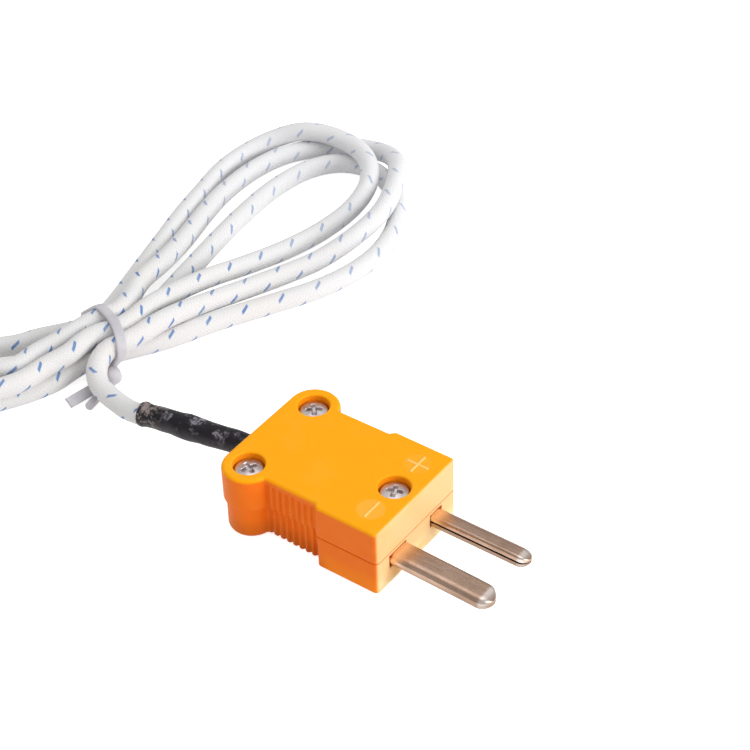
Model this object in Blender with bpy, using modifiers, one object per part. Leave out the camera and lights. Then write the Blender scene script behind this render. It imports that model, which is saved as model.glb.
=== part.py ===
"""Thermocouple probe: a miniature two-blade plug on a braided lead that ends in a welded bead.

Frame: +X along the blades, +Y to the positive blade, +Z up, metres. The origin is under the middle
of the plug, on the surface that the probe lies on. Plan positions are measured from the front face
of the plug, towards -X, and turned into frame positions by plan_x().
"""

import math

import bmesh
import bpy
from mathutils import Matrix, Vector

MM = 0.001

# Housing
BODY_LENGTH = 23.4 * MM
BODY_WIDTH = 16.4 * MM
BODY_HEIGHT = 9.7 * MM
PARTING_HEIGHT = 4.9 * MM
SEAM_GAP = 0.1 * MM
FRONT_BLOCK_LENGTH = 8.6 * MM
SHOULDER_RUN = 0.9 * MM
WAIST_INSET = 0.65 * MM
LOWER_SHELL_INSET = 0.35 * MM
EAR_RADIUS = 3.35 * MM
EAR_SPACING = 13.0 * MM
FRONT_CORNER_RADIUS = 0.6 * MM
TOP_EDGE_RADIUS = 0.45 * MM
BOTTOM_EDGE_RADIUS = 0.45 * MM
WALL = 1.6 * MM
SIDE_WALL = 0.8 * MM
CENTRE_RIB_WIDTH = 3.0 * MM

# Grip grooves on the two sides
GROOVE_PITCH = 0.96 * MM
GROOVE_DEPTH = 0.3 * MM
GROOVE_RADIUS = 0.4 * MM
GROOVE_TOP_MARGIN = 0.9 * MM
GROOVE_END_MARGIN = 0.2 * MM

# Case screws
CASE_HEAD_DIAMETER = 3.6 * MM
CASE_HEAD_HEIGHT = 1.5 * MM
CASE_SHANK_DIAMETER = 2.0 * MM
CASE_SHANK_LENGTH = 5.0 * MM
CASE_HEAD_DEPTH = 0.7 * MM
WELL_MOUTH_RADIUS = 0.25 * MM
FRONT_SCREW_INSET = 3.2 * MM
HEAD_CLEARANCE = 0.2 * MM
SHANK_CLEARANCE = 0.2 * MM
PILOT_CLEARANCE = 0.12 * MM

# Blades, folded from sheet
BLADE_PITCH = 7.92 * MM
POSITIVE_BLADE_WIDTH = 2.3 * MM
NEGATIVE_BLADE_WIDTH = 3.3 * MM
BLADE_REACH = 13.6 * MM
# A blade's contact face starts this far from the front face, a small step above its tail
CONTACT_START = 0.3 * MM
CONTACT_STEP = 0.05 * MM
BLADE_TAIL = 13.2 * MM
SHEET_THICKNESS = 0.75 * MM
LEAF_GAP = 0.3 * MM
BLADE_DROP = 0.5 * MM
TIP_ROUNDING = 0.55 * MM
FIT_GAP = 0.15 * MM

# Terminals
TERMINAL_INSET = 10.9 * MM
TERMINAL_HEAD_DIAMETER = 3.4 * MM
TERMINAL_HEAD_HEIGHT = 1.2 * MM
TERMINAL_SHANK_DIAMETER = 1.8 * MM
TERMINAL_SHANK_LENGTH = 5.0 * MM
WASHER_SIDE = 4.0 * MM
WASHER_THICKNESS = 0.4 * MM
WASHER_CORNER_RADIUS = 0.6 * MM
CORE_WIRE_DIAMETER = 0.5 * MM
CONDUCTOR_DIAMETER = 1.1 * MM
CONDUCTOR_SPACING = 1.4 * MM

# Lead
LEAD_DIAMETER = 2.8 * MM
SLEEVE_INNER_END = 19.6 * MM
CABLE_ENTRY_LENGTH = 3.7 * MM
SLEEVE_DIAMETER = 2.94 * MM
JOINT_GAP = 0.3 * MM
HANK_HEIGHT = 5.6 * MM
HANK_EDGE_RADIUS = 1.2 * MM
TIE_WIDTH = 1.8 * MM
TIE_THICKNESS = 0.9 * MM
TIE_SPAN = 8.2 * MM
TIE_ANGLE = math.radians(64)
TIP_SLEEVE_DIAMETER = 3.1 * MM
TIP_SLEEVE_LENGTH = 10.0 * MM
TIP_CONDUCTOR_LENGTH = 8.0 * MM
TIP_WIRE_LENGTH = 3.0 * MM
BEAD_DIAMETER = 1.4 * MM

ROUND_STEPS = 24

# Places that follow from the sizes above
FRONT_X = (BODY_LENGTH - BLADE_REACH) / 2
HALF_WIDTH = BODY_WIDTH / 2
BLADE_THICKNESS = 2 * SHEET_THICKNESS + LEAF_GAP
BLADE_TOP = PARTING_HEIGHT - BLADE_DROP
BLADE_BOTTOM = BLADE_TOP - BLADE_THICKNESS
CHANNEL_FLOOR = BLADE_BOTTOM - FIT_GAP
EAR_INSET = BODY_LENGTH - EAR_RADIUS
WELL_RADIUS = CASE_HEAD_DIAMETER / 2 + HEAD_CLEARANCE
CASE_SEAT_HEIGHT = BODY_HEIGHT - CASE_HEAD_DEPTH - CASE_HEAD_HEIGHT
CAVITY_TOP = BODY_HEIGHT - WALL
BAY_HALF_WIDTH = HALF_WIDTH - WAIST_INSET - LOWER_SHELL_INSET - GROOVE_DEPTH - SIDE_WALL
LEAD_RADIUS = LEAD_DIAMETER / 2
WIRE_LEVEL = BLADE_TOP + FIT_GAP + CORE_WIRE_DIAMETER / 2
WASHER_LEVEL = BLADE_TOP + 2 * FIT_GAP + CORE_WIRE_DIAMETER


def plan_x(inset):
    """Frame X of a place that lies a given way behind the front face."""
    return FRONT_X - inset


TIE_CENTRE = Vector((plan_x(55.5 * MM), 7.0 * MM))

# Routes and outlines chosen by hand: (distance behind the front face, Y, height) in millimetres
SLEEVE_ROUTE = [
    (19.6, 0.0, 4.8), (23.2, 0.0, 4.8), (26.9, 0.0, 4.75), (30.5, -0.5, 4.6),
    (34.2, -0.9, 4.35), (37.3, -1.1, 4.05), (41.4, -1.5, 3.6),
]
SLEEVE_SWELL = [1.0, 1.0, 1.02, 1.04, 1.12, 1.0, 0.98]
LEAD_START_ROUTE = [
    (41.7, -1.53, 3.56), (44.5, -1.4, 3.1), (47.5, -0.9, 2.6), (50.2, -0.2, 2.5), (53.3, 1.5, 2.8),
]
LEAD_TAIL_ROUTE = [
    (68.1, -29.8, 1.5), (66.0, -28.2, 1.45), (63.3, -27.2, 1.45), (60.2, -26.9, 1.45),
    (57.0, -28.2, 1.45), (54.0, -30.8, 1.5), (51.3, -34.0, 1.6),
]
HANK_OUTLINE = [
    (51.1, 6.5), (48.6, 13.0), (45.0, 20.5), (41.0, 28.0), (37.8, 36.5), (36.8, 45.0), (39.5, 53.5),
    (43.5, 60.0), (47.5, 65.0), (53.0, 67.5), (60.0, 67.3), (66.5, 64.5), (70.5, 58.5), (71.0, 50.0),
    (69.0, 41.0), (66.3, 32.0), (63.3, 22.5), (60.5, 15.0), (58.5, 10.1), (59.9, 7.5), (64.0, 3.8),
    (70.0, -1.0), (78.0, -9.0), (87.0, -19.5), (95.5, -31.0), (100.5, -41.5), (100.0, -50.0),
    (94.5, -54.0), (87.0, -51.5), (79.0, -43.0), (71.0, -31.5), (64.0, -19.5), (58.5, -8.5),
    (55.3, -1.5), (52.5, 3.9),
]
HANK_RIGHT_EYE = [
    (55.3, 28.0), (51.5, 37.0), (49.0, 45.0), (48.7, 52.0), (50.3, 57.0), (54.0, 58.5), (57.8, 57.0),
    (58.6, 51.0), (58.0, 43.0), (56.6, 34.0),
]
HANK_LEFT_EYE = [
    (68.0, -13.0), (74.0, -20.0), (82.0, -30.0), (90.0, -41.0), (93.5, -47.0), (90.0, -48.0),
    (83.0, -40.5), (75.5, -30.0), (69.0, -19.5),
]


def clear_scene():
    for obj in list(bpy.data.objects):
        bpy.data.objects.remove(obj, do_unlink=True)


def new_collection(name):
    collection = bpy.data.collections.new(name)
    bpy.context.scene.collection.children.link(collection)
    return collection


def principled(name, colour, roughness, metallic=0.0):
    material = bpy.data.materials.new(name)
    material.use_nodes = True
    shader = material.node_tree.nodes["Principled BSDF"]
    shader.inputs["Base Color"].default_value = (*colour, 1.0)
    shader.inputs["Roughness"].default_value = roughness
    shader.inputs["Metallic"].default_value = metallic
    return material


def frame_point(point):
    """A route point (inset, Y, height in millimetres) as a place in the frame."""
    inset, across, height = point
    return Vector((plan_x(inset * MM), across * MM, height * MM))


def catmull(p0, p1, p2, p3, t):
    """Point at t between p1 and p2 on the smooth curve through four points."""
    return 0.5 * (
        2 * p1
        + (p2 - p0) * t
        + (2 * p0 - 5 * p1 + 4 * p2 - p3) * t**2
        + (3 * p1 - p0 - 3 * p2 + p3) * t**3
    )


def smooth_open(points, steps_per_span):
    """Smooth curve through open points, with a mirrored point past each end."""
    padded = [2 * points[0] - points[1], *points, 2 * points[-1] - points[-2]]
    line = []
    for k in range(len(points) - 1):
        line += [catmull(*padded[k:k + 4], step / steps_per_span) for step in range(steps_per_span)]
    return [*line, points[-1]]


def smooth_closed(points, steps_per_span):
    count = len(points)
    line = []
    for k in range(count):
        four = [points[(k + shift) % count] for shift in (-1, 0, 1, 2)]
        line += [catmull(*four, step / steps_per_span) for step in range(steps_per_span)]
    return line


def evenly_spaced(line, spacing):
    """Points at equal distances along a fine line, its two ends included."""
    lengths = [0.0]
    for a, b in zip(line, line[1:]):
        lengths.append(lengths[-1] + (b - a).length)
    count = max(2, round(lengths[-1] / spacing))
    result = []
    k = 0
    for n in range(count + 1):
        wanted = lengths[-1] * n / count
        while k < len(line) - 2 and lengths[k + 1] < wanted:
            k += 1
        share = (wanted - lengths[k]) / (lengths[k + 1] - lengths[k])
        result.append(line[k].lerp(line[k + 1], share))
    return result


def arc(centre_x, centre_y, radius, start, end, steps):
    """Points along an arc, its two ends included, with angles in degrees."""
    angles = [math.radians(start + (end - start) * n / steps) for n in range(steps + 1)]
    return [(centre_x + radius * math.cos(a), centre_y + radius * math.sin(a)) for a in angles]


def as_mesh(obj, collection):
    """Replaces a curve object by the mesh it draws, with its caps welded and its flats dissolved."""
    bpy.context.scene.collection.objects.link(obj)
    bpy.context.view_layer.update()
    evaluated = obj.evaluated_get(bpy.context.evaluated_depsgraph_get())
    mesh = bpy.data.meshes.new_from_object(evaluated)
    placed = obj.matrix_world.copy()
    name = obj.name
    bpy.data.objects.remove(obj, do_unlink=True)
    mesh.transform(placed)
    shape = bmesh.new()
    shape.from_mesh(mesh)
    bmesh.ops.remove_doubles(shape, verts=shape.verts, dist=0.001 * MM)
    bmesh.ops.dissolve_limit(shape, angle_limit=0.001, verts=shape.verts, edges=shape.edges)
    bmesh.ops.recalc_face_normals(shape, faces=shape.faces)
    shape.to_mesh(mesh)
    shape.free()
    solid = bpy.data.objects.new(name, mesh)
    collection.objects.link(solid)
    return solid


def extruded(name, outlines, low, high, collection, turn=None):
    """A solid between two heights, from flat outlines of which inner ones are holes."""
    curve = bpy.data.curves.new(name, "CURVE")
    curve.dimensions = "2D"
    curve.fill_mode = "BOTH"
    curve.extrude = (high - low) / 2
    for outline in outlines:
        spline = curve.splines.new("POLY")
        spline.points.add(len(outline) - 1)
        for point, (x, y) in zip(spline.points, outline):
            point.co = (x, y, 0.0, 1.0)
        spline.use_cyclic_u = True
    obj = bpy.data.objects.new(name, curve)
    lift = Matrix.Translation((0, 0, (low + high) / 2))
    obj.matrix_world = (turn or Matrix()) @ lift
    return as_mesh(obj, collection)


def tapered_prism(name, outline, low, high, taper, collection):
    """A prism with one face a side; its lower end is the outline scaled by taper."""
    shape = bmesh.new()
    below = [shape.verts.new((x * taper, y * taper, low)) for x, y in outline]
    above = [shape.verts.new((x, y, high)) for x, y in outline]
    shape.faces.new(above)
    shape.faces.new(below[::-1])
    for n, corner in enumerate(below):
        shape.faces.new((below[n - 1], corner, above[n], above[n - 1]))
    mesh = bpy.data.meshes.new(name)
    shape.to_mesh(mesh)
    shape.free()
    obj = bpy.data.objects.new(name, mesh)
    collection.objects.link(obj)
    return obj


def tube(name, line, radius, collection, swell=None):
    """A capped tube along a line of points; swell scales its radius point by point."""
    curve = bpy.data.curves.new(name, "CURVE")
    curve.dimensions = "3D"
    curve.bevel_depth = radius
    curve.bevel_resolution = 2
    curve.use_fill_caps = True
    spline = curve.splines.new("POLY")
    spline.points.add(len(line) - 1)
    for n, (point, place) in enumerate(zip(spline.points, line)):
        point.co = (*place, 1.0)
        point.radius = swell[n] if swell else 1.0
    obj = bpy.data.objects.new(name, curve)
    collection.objects.link(obj)
    return obj


def turned(name, profile, collection, steps=ROUND_STEPS):
    """A turned shape from a profile of (radius, height) points, top to bottom."""
    mesh = bpy.data.meshes.new(name)
    vertices = [(radius, 0.0, height) for radius, height in profile]
    edges = [(n, n + 1) for n in range(len(profile) - 1)]
    mesh.from_pydata(vertices, edges, [])
    obj = bpy.data.objects.new(name, mesh)
    collection.objects.link(obj)
    spin = obj.modifiers.new("turning", "SCREW")
    spin.steps = steps
    spin.render_steps = steps
    spin.use_merge_vertices = True
    spin.merge_threshold = 0.001 * MM
    return obj


def cylinder(name, radius, low, high, place, collection, along="Z", steps=ROUND_STEPS):
    """A cylinder between two coordinates on one axis; place gives the other two."""
    mesh = bpy.data.meshes.new(name)
    shape = bmesh.new()
    bmesh.ops.create_cone(
        shape, cap_ends=True, segments=steps, radius1=radius, radius2=radius, depth=high - low
    )
    middle = (low + high) / 2
    if along == "Z":
        matrix = Matrix.Translation((place[0], place[1], middle))
    else:
        matrix = Matrix.Translation((middle, place[0], place[1])) @ Matrix.Rotation(math.pi / 2, 4, "Y")
    bmesh.ops.transform(shape, matrix=matrix, verts=shape.verts)
    shape.to_mesh(mesh)
    shape.free()
    obj = bpy.data.objects.new(name, mesh)
    collection.objects.link(obj)
    return obj


def box(name, low, high, collection):
    mesh = bpy.data.meshes.new(name)
    shape = bmesh.new()
    bmesh.ops.create_cube(shape, size=1.0)
    size = Vector(high) - Vector(low)
    middle = (Vector(high) + Vector(low)) / 2
    matrix = Matrix.Translation(middle) @ Matrix.Diagonal((*size, 1.0))
    bmesh.ops.transform(shape, matrix=matrix, verts=shape.verts)
    shape.to_mesh(mesh)
    shape.free()
    obj = bpy.data.objects.new(name, mesh)
    collection.objects.link(obj)
    return obj


def joined(name, objects, collection):
    """One object that holds the evaluated meshes of several separate ones, which it replaces."""
    bpy.context.view_layer.update()
    graph = bpy.context.evaluated_depsgraph_get()
    shape = bmesh.new()
    for obj in objects:
        mesh = bpy.data.meshes.new_from_object(obj.evaluated_get(graph))
        mesh.transform(obj.matrix_world)
        shape.from_mesh(mesh)
        bpy.data.meshes.remove(mesh)
    mesh = bpy.data.meshes.new(name)
    shape.to_mesh(mesh)
    shape.free()
    for obj in objects:
        bpy.data.objects.remove(obj, do_unlink=True)
    result = bpy.data.objects.new(name, mesh)
    collection.objects.link(result)
    return result


def boolean(target, tool, operation="DIFFERENCE"):
    step = target.modifiers.new(tool.name, "BOOLEAN")
    step.operation = operation
    step.solver = "EXACT"
    step.object = tool
    tool.hide_render = True
    tool.display_type = "WIRE"


def round_rim(obj, radius, segments, at_rim):
    """Rounds the level edges whose two ends both pass the at_rim test."""
    shape = bmesh.new()
    shape.from_mesh(obj.data)
    edges = []
    for edge in shape.edges:
        first, second = (vertex.co for vertex in edge.verts)
        if abs(first.z - second.z) < 0.01 * MM and at_rim(first) and at_rim(second):
            edges.append(edge)
    bmesh.ops.bevel(
        shape, geom=edges, offset=radius, offset_type="OFFSET", segments=segments,
        profile=0.5, affect="EDGES", clamp_overlap=False,
    )
    shape.to_mesh(obj.data)
    shape.free()


def finish(obj, material, smooth_angle=40):
    obj.data.materials.clear()
    obj.data.materials.append(material)
    if obj.type == "MESH":
        obj.data.shade_smooth()
        obj.data.set_sharp_from_angle(angle=math.radians(smooth_angle))
    return obj


def shell_outline(inset):
    """Plan outline of a housing half: front block, shoulders, waist and two round screw ears.

    inset is how far the waist and the ears stand in from those of the upper half.
    """
    waist = HALF_WIDTH - WAIST_INSET - inset
    radius = EAR_RADIUS - inset
    ear_y = EAR_SPACING / 2
    ear_x = plan_x(EAR_INSET)
    corner = FRONT_CORNER_RADIUS
    half = arc(FRONT_X - corner, HALF_WIDTH - corner, corner, 0, 90, 6)
    shoulder_steps = 5
    for n in range(shoulder_steps + 1):
        share = n / shoulder_steps
        y = waist + (HALF_WIDTH - waist) * (1 + math.cos(math.pi * share)) / 2
        half.append((plan_x(FRONT_BLOCK_LENGTH + SHOULDER_RUN * share), y))
    meeting = math.degrees(math.asin((waist - ear_y) / radius))
    half += arc(ear_x, ear_y, radius, meeting, 180, 14)
    return half + [(x, -y) for x, y in reversed(half)]


def groove_cutter(name, waist, low, high, collection):
    """Upright round rods along both sides of the waist, with domed tops."""
    first = FRONT_BLOCK_LENGTH + SHOULDER_RUN + GROOVE_END_MARGIN
    meeting = math.sqrt(EAR_RADIUS**2 - (waist - EAR_SPACING / 2) ** 2)
    last = EAR_INSET - meeting - GROOVE_END_MARGIN
    count = int((last - first) / GROOVE_PITCH) + 1
    start = (first + last - (count - 1) * GROOVE_PITCH) / 2
    axis_y = waist - GROOVE_DEPTH + GROOVE_RADIUS
    rods = []
    dome = [(GROOVE_RADIUS * math.sin(a), high - GROOVE_RADIUS + GROOVE_RADIUS * math.cos(a))
            for a in (0.0, math.pi / 6, math.pi / 3, math.pi / 2)]
    profile = [*dome, (GROOVE_RADIUS, low), (0.0, low)]
    for n in range(count):
        for side in (-1, 1):
            rod = turned(name, profile, collection, steps=12)
            rod.location = (plan_x(start + n * GROOVE_PITCH), side * axis_y, 0)
            rods.append(rod)
    return joined(name, rods, collection)


def case_screw_places():
    ear_x = plan_x(EAR_INSET)
    return {
        "case_screw_front": (plan_x(FRONT_SCREW_INSET), 0.0),
        "case_screw_left": (ear_x, -EAR_SPACING / 2),
        "case_screw_right": (ear_x, EAR_SPACING / 2),
    }


def screw_well_cutter(collection):
    """Counterbores with rounded mouths, and the clearance holes below them."""
    mouth = WELL_MOUTH_RADIUS
    flare = [(WELL_RADIUS + mouth - mouth * math.sin(a), BODY_HEIGHT - mouth + mouth * math.cos(a))
             for a in (0.0, math.pi / 6, math.pi / 3, math.pi / 2)]
    above = BODY_HEIGHT + 1.0 * MM
    shank = CASE_SHANK_DIAMETER / 2 + SHANK_CLEARANCE
    below = PARTING_HEIGHT - 1.0 * MM
    profile = [(0.0, above), (WELL_RADIUS + mouth, above), *flare, (WELL_RADIUS, CASE_SEAT_HEIGHT),
               (shank, CASE_SEAT_HEIGHT), (shank, below), (0.0, below)]
    wells = []
    for x, y in case_screw_places().values():
        well = turned("screw_well", profile, collection)
        well.location = (x, y, 0)
        wells.append(well)
    return joined("screw_wells", wells, collection)


def cavity_outline():
    """Space for the terminals and the wires: two bays with a rib between them, and a funnel."""
    bay_front = TERMINAL_INSET - WASHER_SIDE / 2 - 2 * FIT_GAP
    bay_back = BLADE_TAIL + 2 * FIT_GAP
    funnel_back = BODY_LENGTH - CABLE_ENTRY_LENGTH
    funnel_half = SLEEVE_DIAMETER / 2 + 2 * FIT_GAP
    rib = CENTRE_RIB_WIDTH / 2
    half = [
        (plan_x(bay_back), rib), (plan_x(bay_front), rib), (plan_x(bay_front), BAY_HALF_WIDTH),
        (plan_x(bay_back), BAY_HALF_WIDTH), (plan_x(funnel_back), funnel_half),
    ]
    return half + [(x, -y) for x, y in reversed(half)]


def upper_shell(parts, cutters, material):
    low = PARTING_HEIGHT + SEAM_GAP / 2
    shell = extruded("upper_shell", [shell_outline(0.0)], low, BODY_HEIGHT, parts)
    round_rim(shell, TOP_EDGE_RADIUS, 3, lambda co: co.z > BODY_HEIGHT - 0.01 * MM)
    waist = HALF_WIDTH - WAIST_INSET
    boolean(shell, groove_cutter(
        "upper_grooves", waist, low - 1.0 * MM, BODY_HEIGHT - GROOVE_TOP_MARGIN, cutters))
    boolean(shell, screw_well_cutter(cutters))
    boolean(shell, extruded(
        "upper_cavity", [cavity_outline()], low - 1.0 * MM, CAVITY_TOP, cutters))
    boolean(shell, bpy.data.objects["cable_entry"])
    return finish(shell, material)


def lower_shell(parts, cutters, material):
    high = PARTING_HEIGHT - SEAM_GAP / 2
    shell = extruded("lower_shell", [shell_outline(LOWER_SHELL_INSET)], 0.0, high, parts)
    round_rim(shell, BOTTOM_EDGE_RADIUS, 2, lambda co: co.z < 0.01 * MM)
    waist = HALF_WIDTH - WAIST_INSET - LOWER_SHELL_INSET
    boolean(shell, groove_cutter("lower_grooves", waist, -1.0 * MM, high + 1.0 * MM, cutters))
    boolean(shell, pilot_hole_cutter(cutters))
    boolean(shell, extruded(
        "lower_cavity", [cavity_outline()], CHANNEL_FLOOR, high + 1.0 * MM, cutters))
    boolean(shell, channel_cutter(cutters))
    boolean(shell, terminal_well_cutter(cutters))
    boolean(shell, bpy.data.objects["cable_entry"])
    return finish(shell, material)


def pilot_hole_cutter(collection):
    radius = CASE_SHANK_DIAMETER / 2 + PILOT_CLEARANCE
    low = CASE_SEAT_HEIGHT - CASE_SHANK_LENGTH - 2 * FIT_GAP
    holes = [cylinder("pilot_hole", radius, low, PARTING_HEIGHT + 1.0 * MM, place, collection)
             for place in case_screw_places().values()]
    return joined("pilot_holes", holes, collection)


def blade_rows():
    """Name, side and width of the two blades; the positive one is on the +Y side."""
    return [("positive", 1, POSITIVE_BLADE_WIDTH), ("negative", -1, NEGATIVE_BLADE_WIDTH)]


def channel_cutter(collection):
    """Slots that run from the terminal bays out through the front face."""
    slots = []
    for _, side, width in blade_rows():
        middle = side * BLADE_PITCH / 2
        half = width / 2 + FIT_GAP
        slots.append(box(
            "slot", (plan_x(TERMINAL_INSET), middle - half, CHANNEL_FLOOR),
            (FRONT_X + 1.0 * MM, middle + half, PARTING_HEIGHT + 1.0 * MM), collection))
    return joined("blade_channels", slots, collection)


def terminal_well_cutter(collection):
    radius = TERMINAL_SHANK_DIAMETER / 2 + SHANK_CLEARANCE
    top = WASHER_LEVEL + WASHER_THICKNESS + FIT_GAP
    low = top - TERMINAL_SHANK_LENGTH - 2 * FIT_GAP
    wells = [cylinder("terminal_well", radius, low, PARTING_HEIGHT,
                      (plan_x(TERMINAL_INSET), side * BLADE_PITCH / 2), collection)
             for _, side, _ in blade_rows()]
    return joined("terminal_wells", wells, collection)


def cable_entry_cutter(collection):
    """Round way through the back wall, half in each shell."""
    radius = SLEEVE_DIAMETER / 2 + FIT_GAP
    back = plan_x(BODY_LENGTH + 1.0 * MM)
    front = plan_x(BODY_LENGTH - CABLE_ENTRY_LENGTH - 0.5 * MM)
    return cylinder("cable_entry", radius, back, front, (0.0, PARTING_HEIGHT), collection, along="X")


def screw_mesh(name, head_diameter, head_height, shank_diameter, shank_length, collection):
    """Mesh of a pan-head screw with a cross recess; its head's underside is at height zero."""
    head = head_diameter / 2
    shank = shank_diameter / 2
    wall = 0.45 * head_height
    dome = [(head * math.sin(a), wall + (head_height - wall) * math.cos(a))
            for a in (0.0, math.pi / 10, math.pi / 5, math.pi * 3 / 10, math.pi * 2 / 5, math.pi / 2)]
    point = 0.3 * shank_diameter
    profile = [*dome, (head, 0.0), (shank, 0.0), (shank, point - shank_length),
               (shank - point / 2, -shank_length), (0.0, -shank_length)]
    screw = turned(name, profile, collection)
    arm = 0.29 * head_diameter
    half = 0.07 * head_diameter
    cross = [(arm, half), (half, half), (half, arm), (-half, arm), (-half, half), (-arm, half),
             (-arm, -half), (-half, -half), (-half, -arm), (half, -arm), (half, -half), (arm, -half)]
    recess = tapered_prism("recess", cross, 0.3 * head_height, 1.3 * head_height, 0.4, collection)
    boolean(screw, recess)
    bpy.context.view_layer.update()
    mesh = bpy.data.meshes.new_from_object(
        screw.evaluated_get(bpy.context.evaluated_depsgraph_get()))
    bpy.data.objects.remove(screw, do_unlink=True)
    bpy.data.objects.remove(recess, do_unlink=True)
    mesh.name = name
    return mesh


def place_screws(parts, material):
    case_mesh = screw_mesh("case_screw", CASE_HEAD_DIAMETER, CASE_HEAD_HEIGHT, CASE_SHANK_DIAMETER,
                           CASE_SHANK_LENGTH, parts)
    for turn, (name, (x, y)) in enumerate(case_screw_places().items()):
        screw = bpy.data.objects.new(name, case_mesh)
        screw.location = (x, y, CASE_SEAT_HEIGHT + SEAM_GAP)
        screw.rotation_euler.z = math.radians(20 + 35 * turn)
        parts.objects.link(screw)
        finish(screw, material)
    terminal_mesh = screw_mesh("terminal_screw", TERMINAL_HEAD_DIAMETER, TERMINAL_HEAD_HEIGHT,
                               TERMINAL_SHANK_DIAMETER, TERMINAL_SHANK_LENGTH, parts)
    for name, side, _ in blade_rows():
        screw = bpy.data.objects.new(f"{name}_terminal_screw", terminal_mesh)
        height = WASHER_LEVEL + WASHER_THICKNESS + FIT_GAP
        screw.location = (plan_x(TERMINAL_INSET), side * BLADE_PITCH / 2, height)
        screw.rotation_euler.z = math.radians(30 * side)
        parts.objects.link(screw)
        finish(screw, material)


def fold_section(width, side):
    """Section of a strip folded in two: a round fold on the outer side, an open seam inside."""
    outer = BLADE_THICKNESS / 2
    inner = LEAF_GAP / 2
    fold = -width / 2 + outer
    half = width / 2
    points = [(half, -outer), *reversed(arc(fold, 0, outer, 90, 270, 10)), (half, outer), (half, inner),
              *arc(fold, 0, inner, 90, 270, 6), (half, -inner)]
    return [(-side * a, b) for a, b in points]


def blade(name, side, width, parts, cutters, material):
    """Folded strip, its end rounded in plan and in side view, drilled for its terminal screw."""
    upright = Matrix(((0, 0, 1, 0), (1, 0, 0, 0), (0, 1, 0, 0), (0, 0, 0, 1)))
    middle_y = side * BLADE_PITCH / 2
    middle_z = (BLADE_TOP + BLADE_BOTTOM) / 2
    place = Matrix.Translation((0, middle_y, middle_z)) @ upright
    strip = extruded(f"{name}_blade", [fold_section(width, side)], plan_x(BLADE_TAIL),
                     FRONT_X + BLADE_REACH + 1.0 * MM, parts, turn=place)
    slack = 0.01 * MM
    half = width / 2 + slack
    tip_x = FRONT_X + BLADE_REACH
    end = arc(tip_x - half, 0, half, -90, 90, 12)
    outline = [(plan_x(BLADE_TAIL) - 1.0 * MM, -half), *end, (plan_x(BLADE_TAIL) - 1.0 * MM, half)]
    mask = extruded(f"{name}_tip_form", [[(x, y + middle_y) for x, y in outline]],
                    BLADE_BOTTOM - slack, BLADE_TOP + slack, cutters)
    round_rim(mask, TIP_ROUNDING, 3, lambda co: co.x > tip_x - half - slack)
    boolean(strip, mask, "INTERSECT")
    step_low = (plan_x(BLADE_TAIL) - 1.0 * MM, middle_y - width, BLADE_TOP - CONTACT_STEP)
    step_high = (FRONT_X + CONTACT_START, middle_y + width, BLADE_TOP + 1.0 * MM)
    boolean(strip, box(f"{name}_tail_step", step_low, step_high, cutters))
    hole = TERMINAL_SHANK_DIAMETER / 2 + PILOT_CLEARANCE
    boolean(strip, cylinder(f"{name}_blade_hole", hole, BLADE_BOTTOM - 1.0 * MM, BLADE_TOP + 1.0 * MM,
                            (plan_x(TERMINAL_INSET), middle_y), cutters))
    return finish(strip, material)


def washer(name, side, parts, cutters, material):
    half = WASHER_SIDE / 2
    corner = WASHER_CORNER_RADIUS
    outline = []
    for x_sign, y_sign, start in ((1, 1, 0), (-1, 1, 90), (-1, -1, 180), (1, -1, 270)):
        outline += arc(x_sign * (half - corner), y_sign * (half - corner), corner, start, start + 90, 3)
    x, y = plan_x(TERMINAL_INSET), side * BLADE_PITCH / 2
    hole = arc(0, 0, TERMINAL_SHANK_DIAMETER / 2 + SHANK_CLEARANCE, 0, 345, 23)
    rings = [[(x + a, y + b) for a, b in ring] for ring in (outline, hole)]
    plate = extruded(f"{name}_clamp_washer", rings, WASHER_LEVEL, WASHER_LEVEL + WASHER_THICKNESS, parts)
    return finish(plate, material)


def inner_wiring(name, side, parts, insulation, metal):
    """An insulated core from the sleeve to its terminal, and its bare end round the screw."""
    terminal = Vector((plan_x(TERMINAL_INSET), side * BLADE_PITCH / 2, WIRE_LEVEL))
    hook_radius = TERMINAL_SHANK_DIAMETER / 2 + SHANK_CLEARANCE + CORE_WIRE_DIAMETER
    edge_x = plan_x(BLADE_TAIL + FIT_GAP)
    hook_y = side * (BLADE_PITCH / 2 - hook_radius * 0.6)
    start = Vector((plan_x(SLEEVE_INNER_END - JOINT_GAP), side * CONDUCTOR_SPACING / 2, PARTING_HEIGHT))
    lift = WIRE_LEVEL + CONDUCTOR_DIAMETER / 2
    route = [start, start + Vector((1.6 * MM, side * 0.1 * MM, 0.15 * MM)),
             Vector((edge_x - 2.2 * MM, hook_y - side * 1.1 * MM, lift)), Vector((edge_x, hook_y, lift))]
    line = evenly_spaced(smooth_open(route, 6), 1.5 * CONDUCTOR_DIAMETER)
    finish(tube(f"{name}_conductor", line, CONDUCTOR_DIAMETER / 2, parts), insulation)
    lead_in = Vector((edge_x + FIT_GAP, hook_y, WIRE_LEVEL + CONDUCTOR_DIAMETER / 4))
    turn = [terminal + Vector((hook_radius * math.cos(a), -side * hook_radius * math.sin(a), 0))
            for a in (math.radians(150 - 30 * n) for n in range(9))]
    finish(tube(f"{name}_core_hook", [lead_in, *turn], CORE_WIRE_DIAMETER / 2, parts), metal)


def strain_relief(parts, material):
    """Heat-shrink sleeve over the lead, from inside the housing to where the braid shows."""
    line = smooth_open([frame_point(p) for p in SLEEVE_ROUTE], 2)
    swell = smooth_open([Vector((s, 0, 0)) for s in SLEEVE_SWELL], 2)
    radius = SLEEVE_DIAMETER / 2
    return finish(tube("strain_relief", line, radius, parts, [s.x for s in swell]), material)


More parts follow.
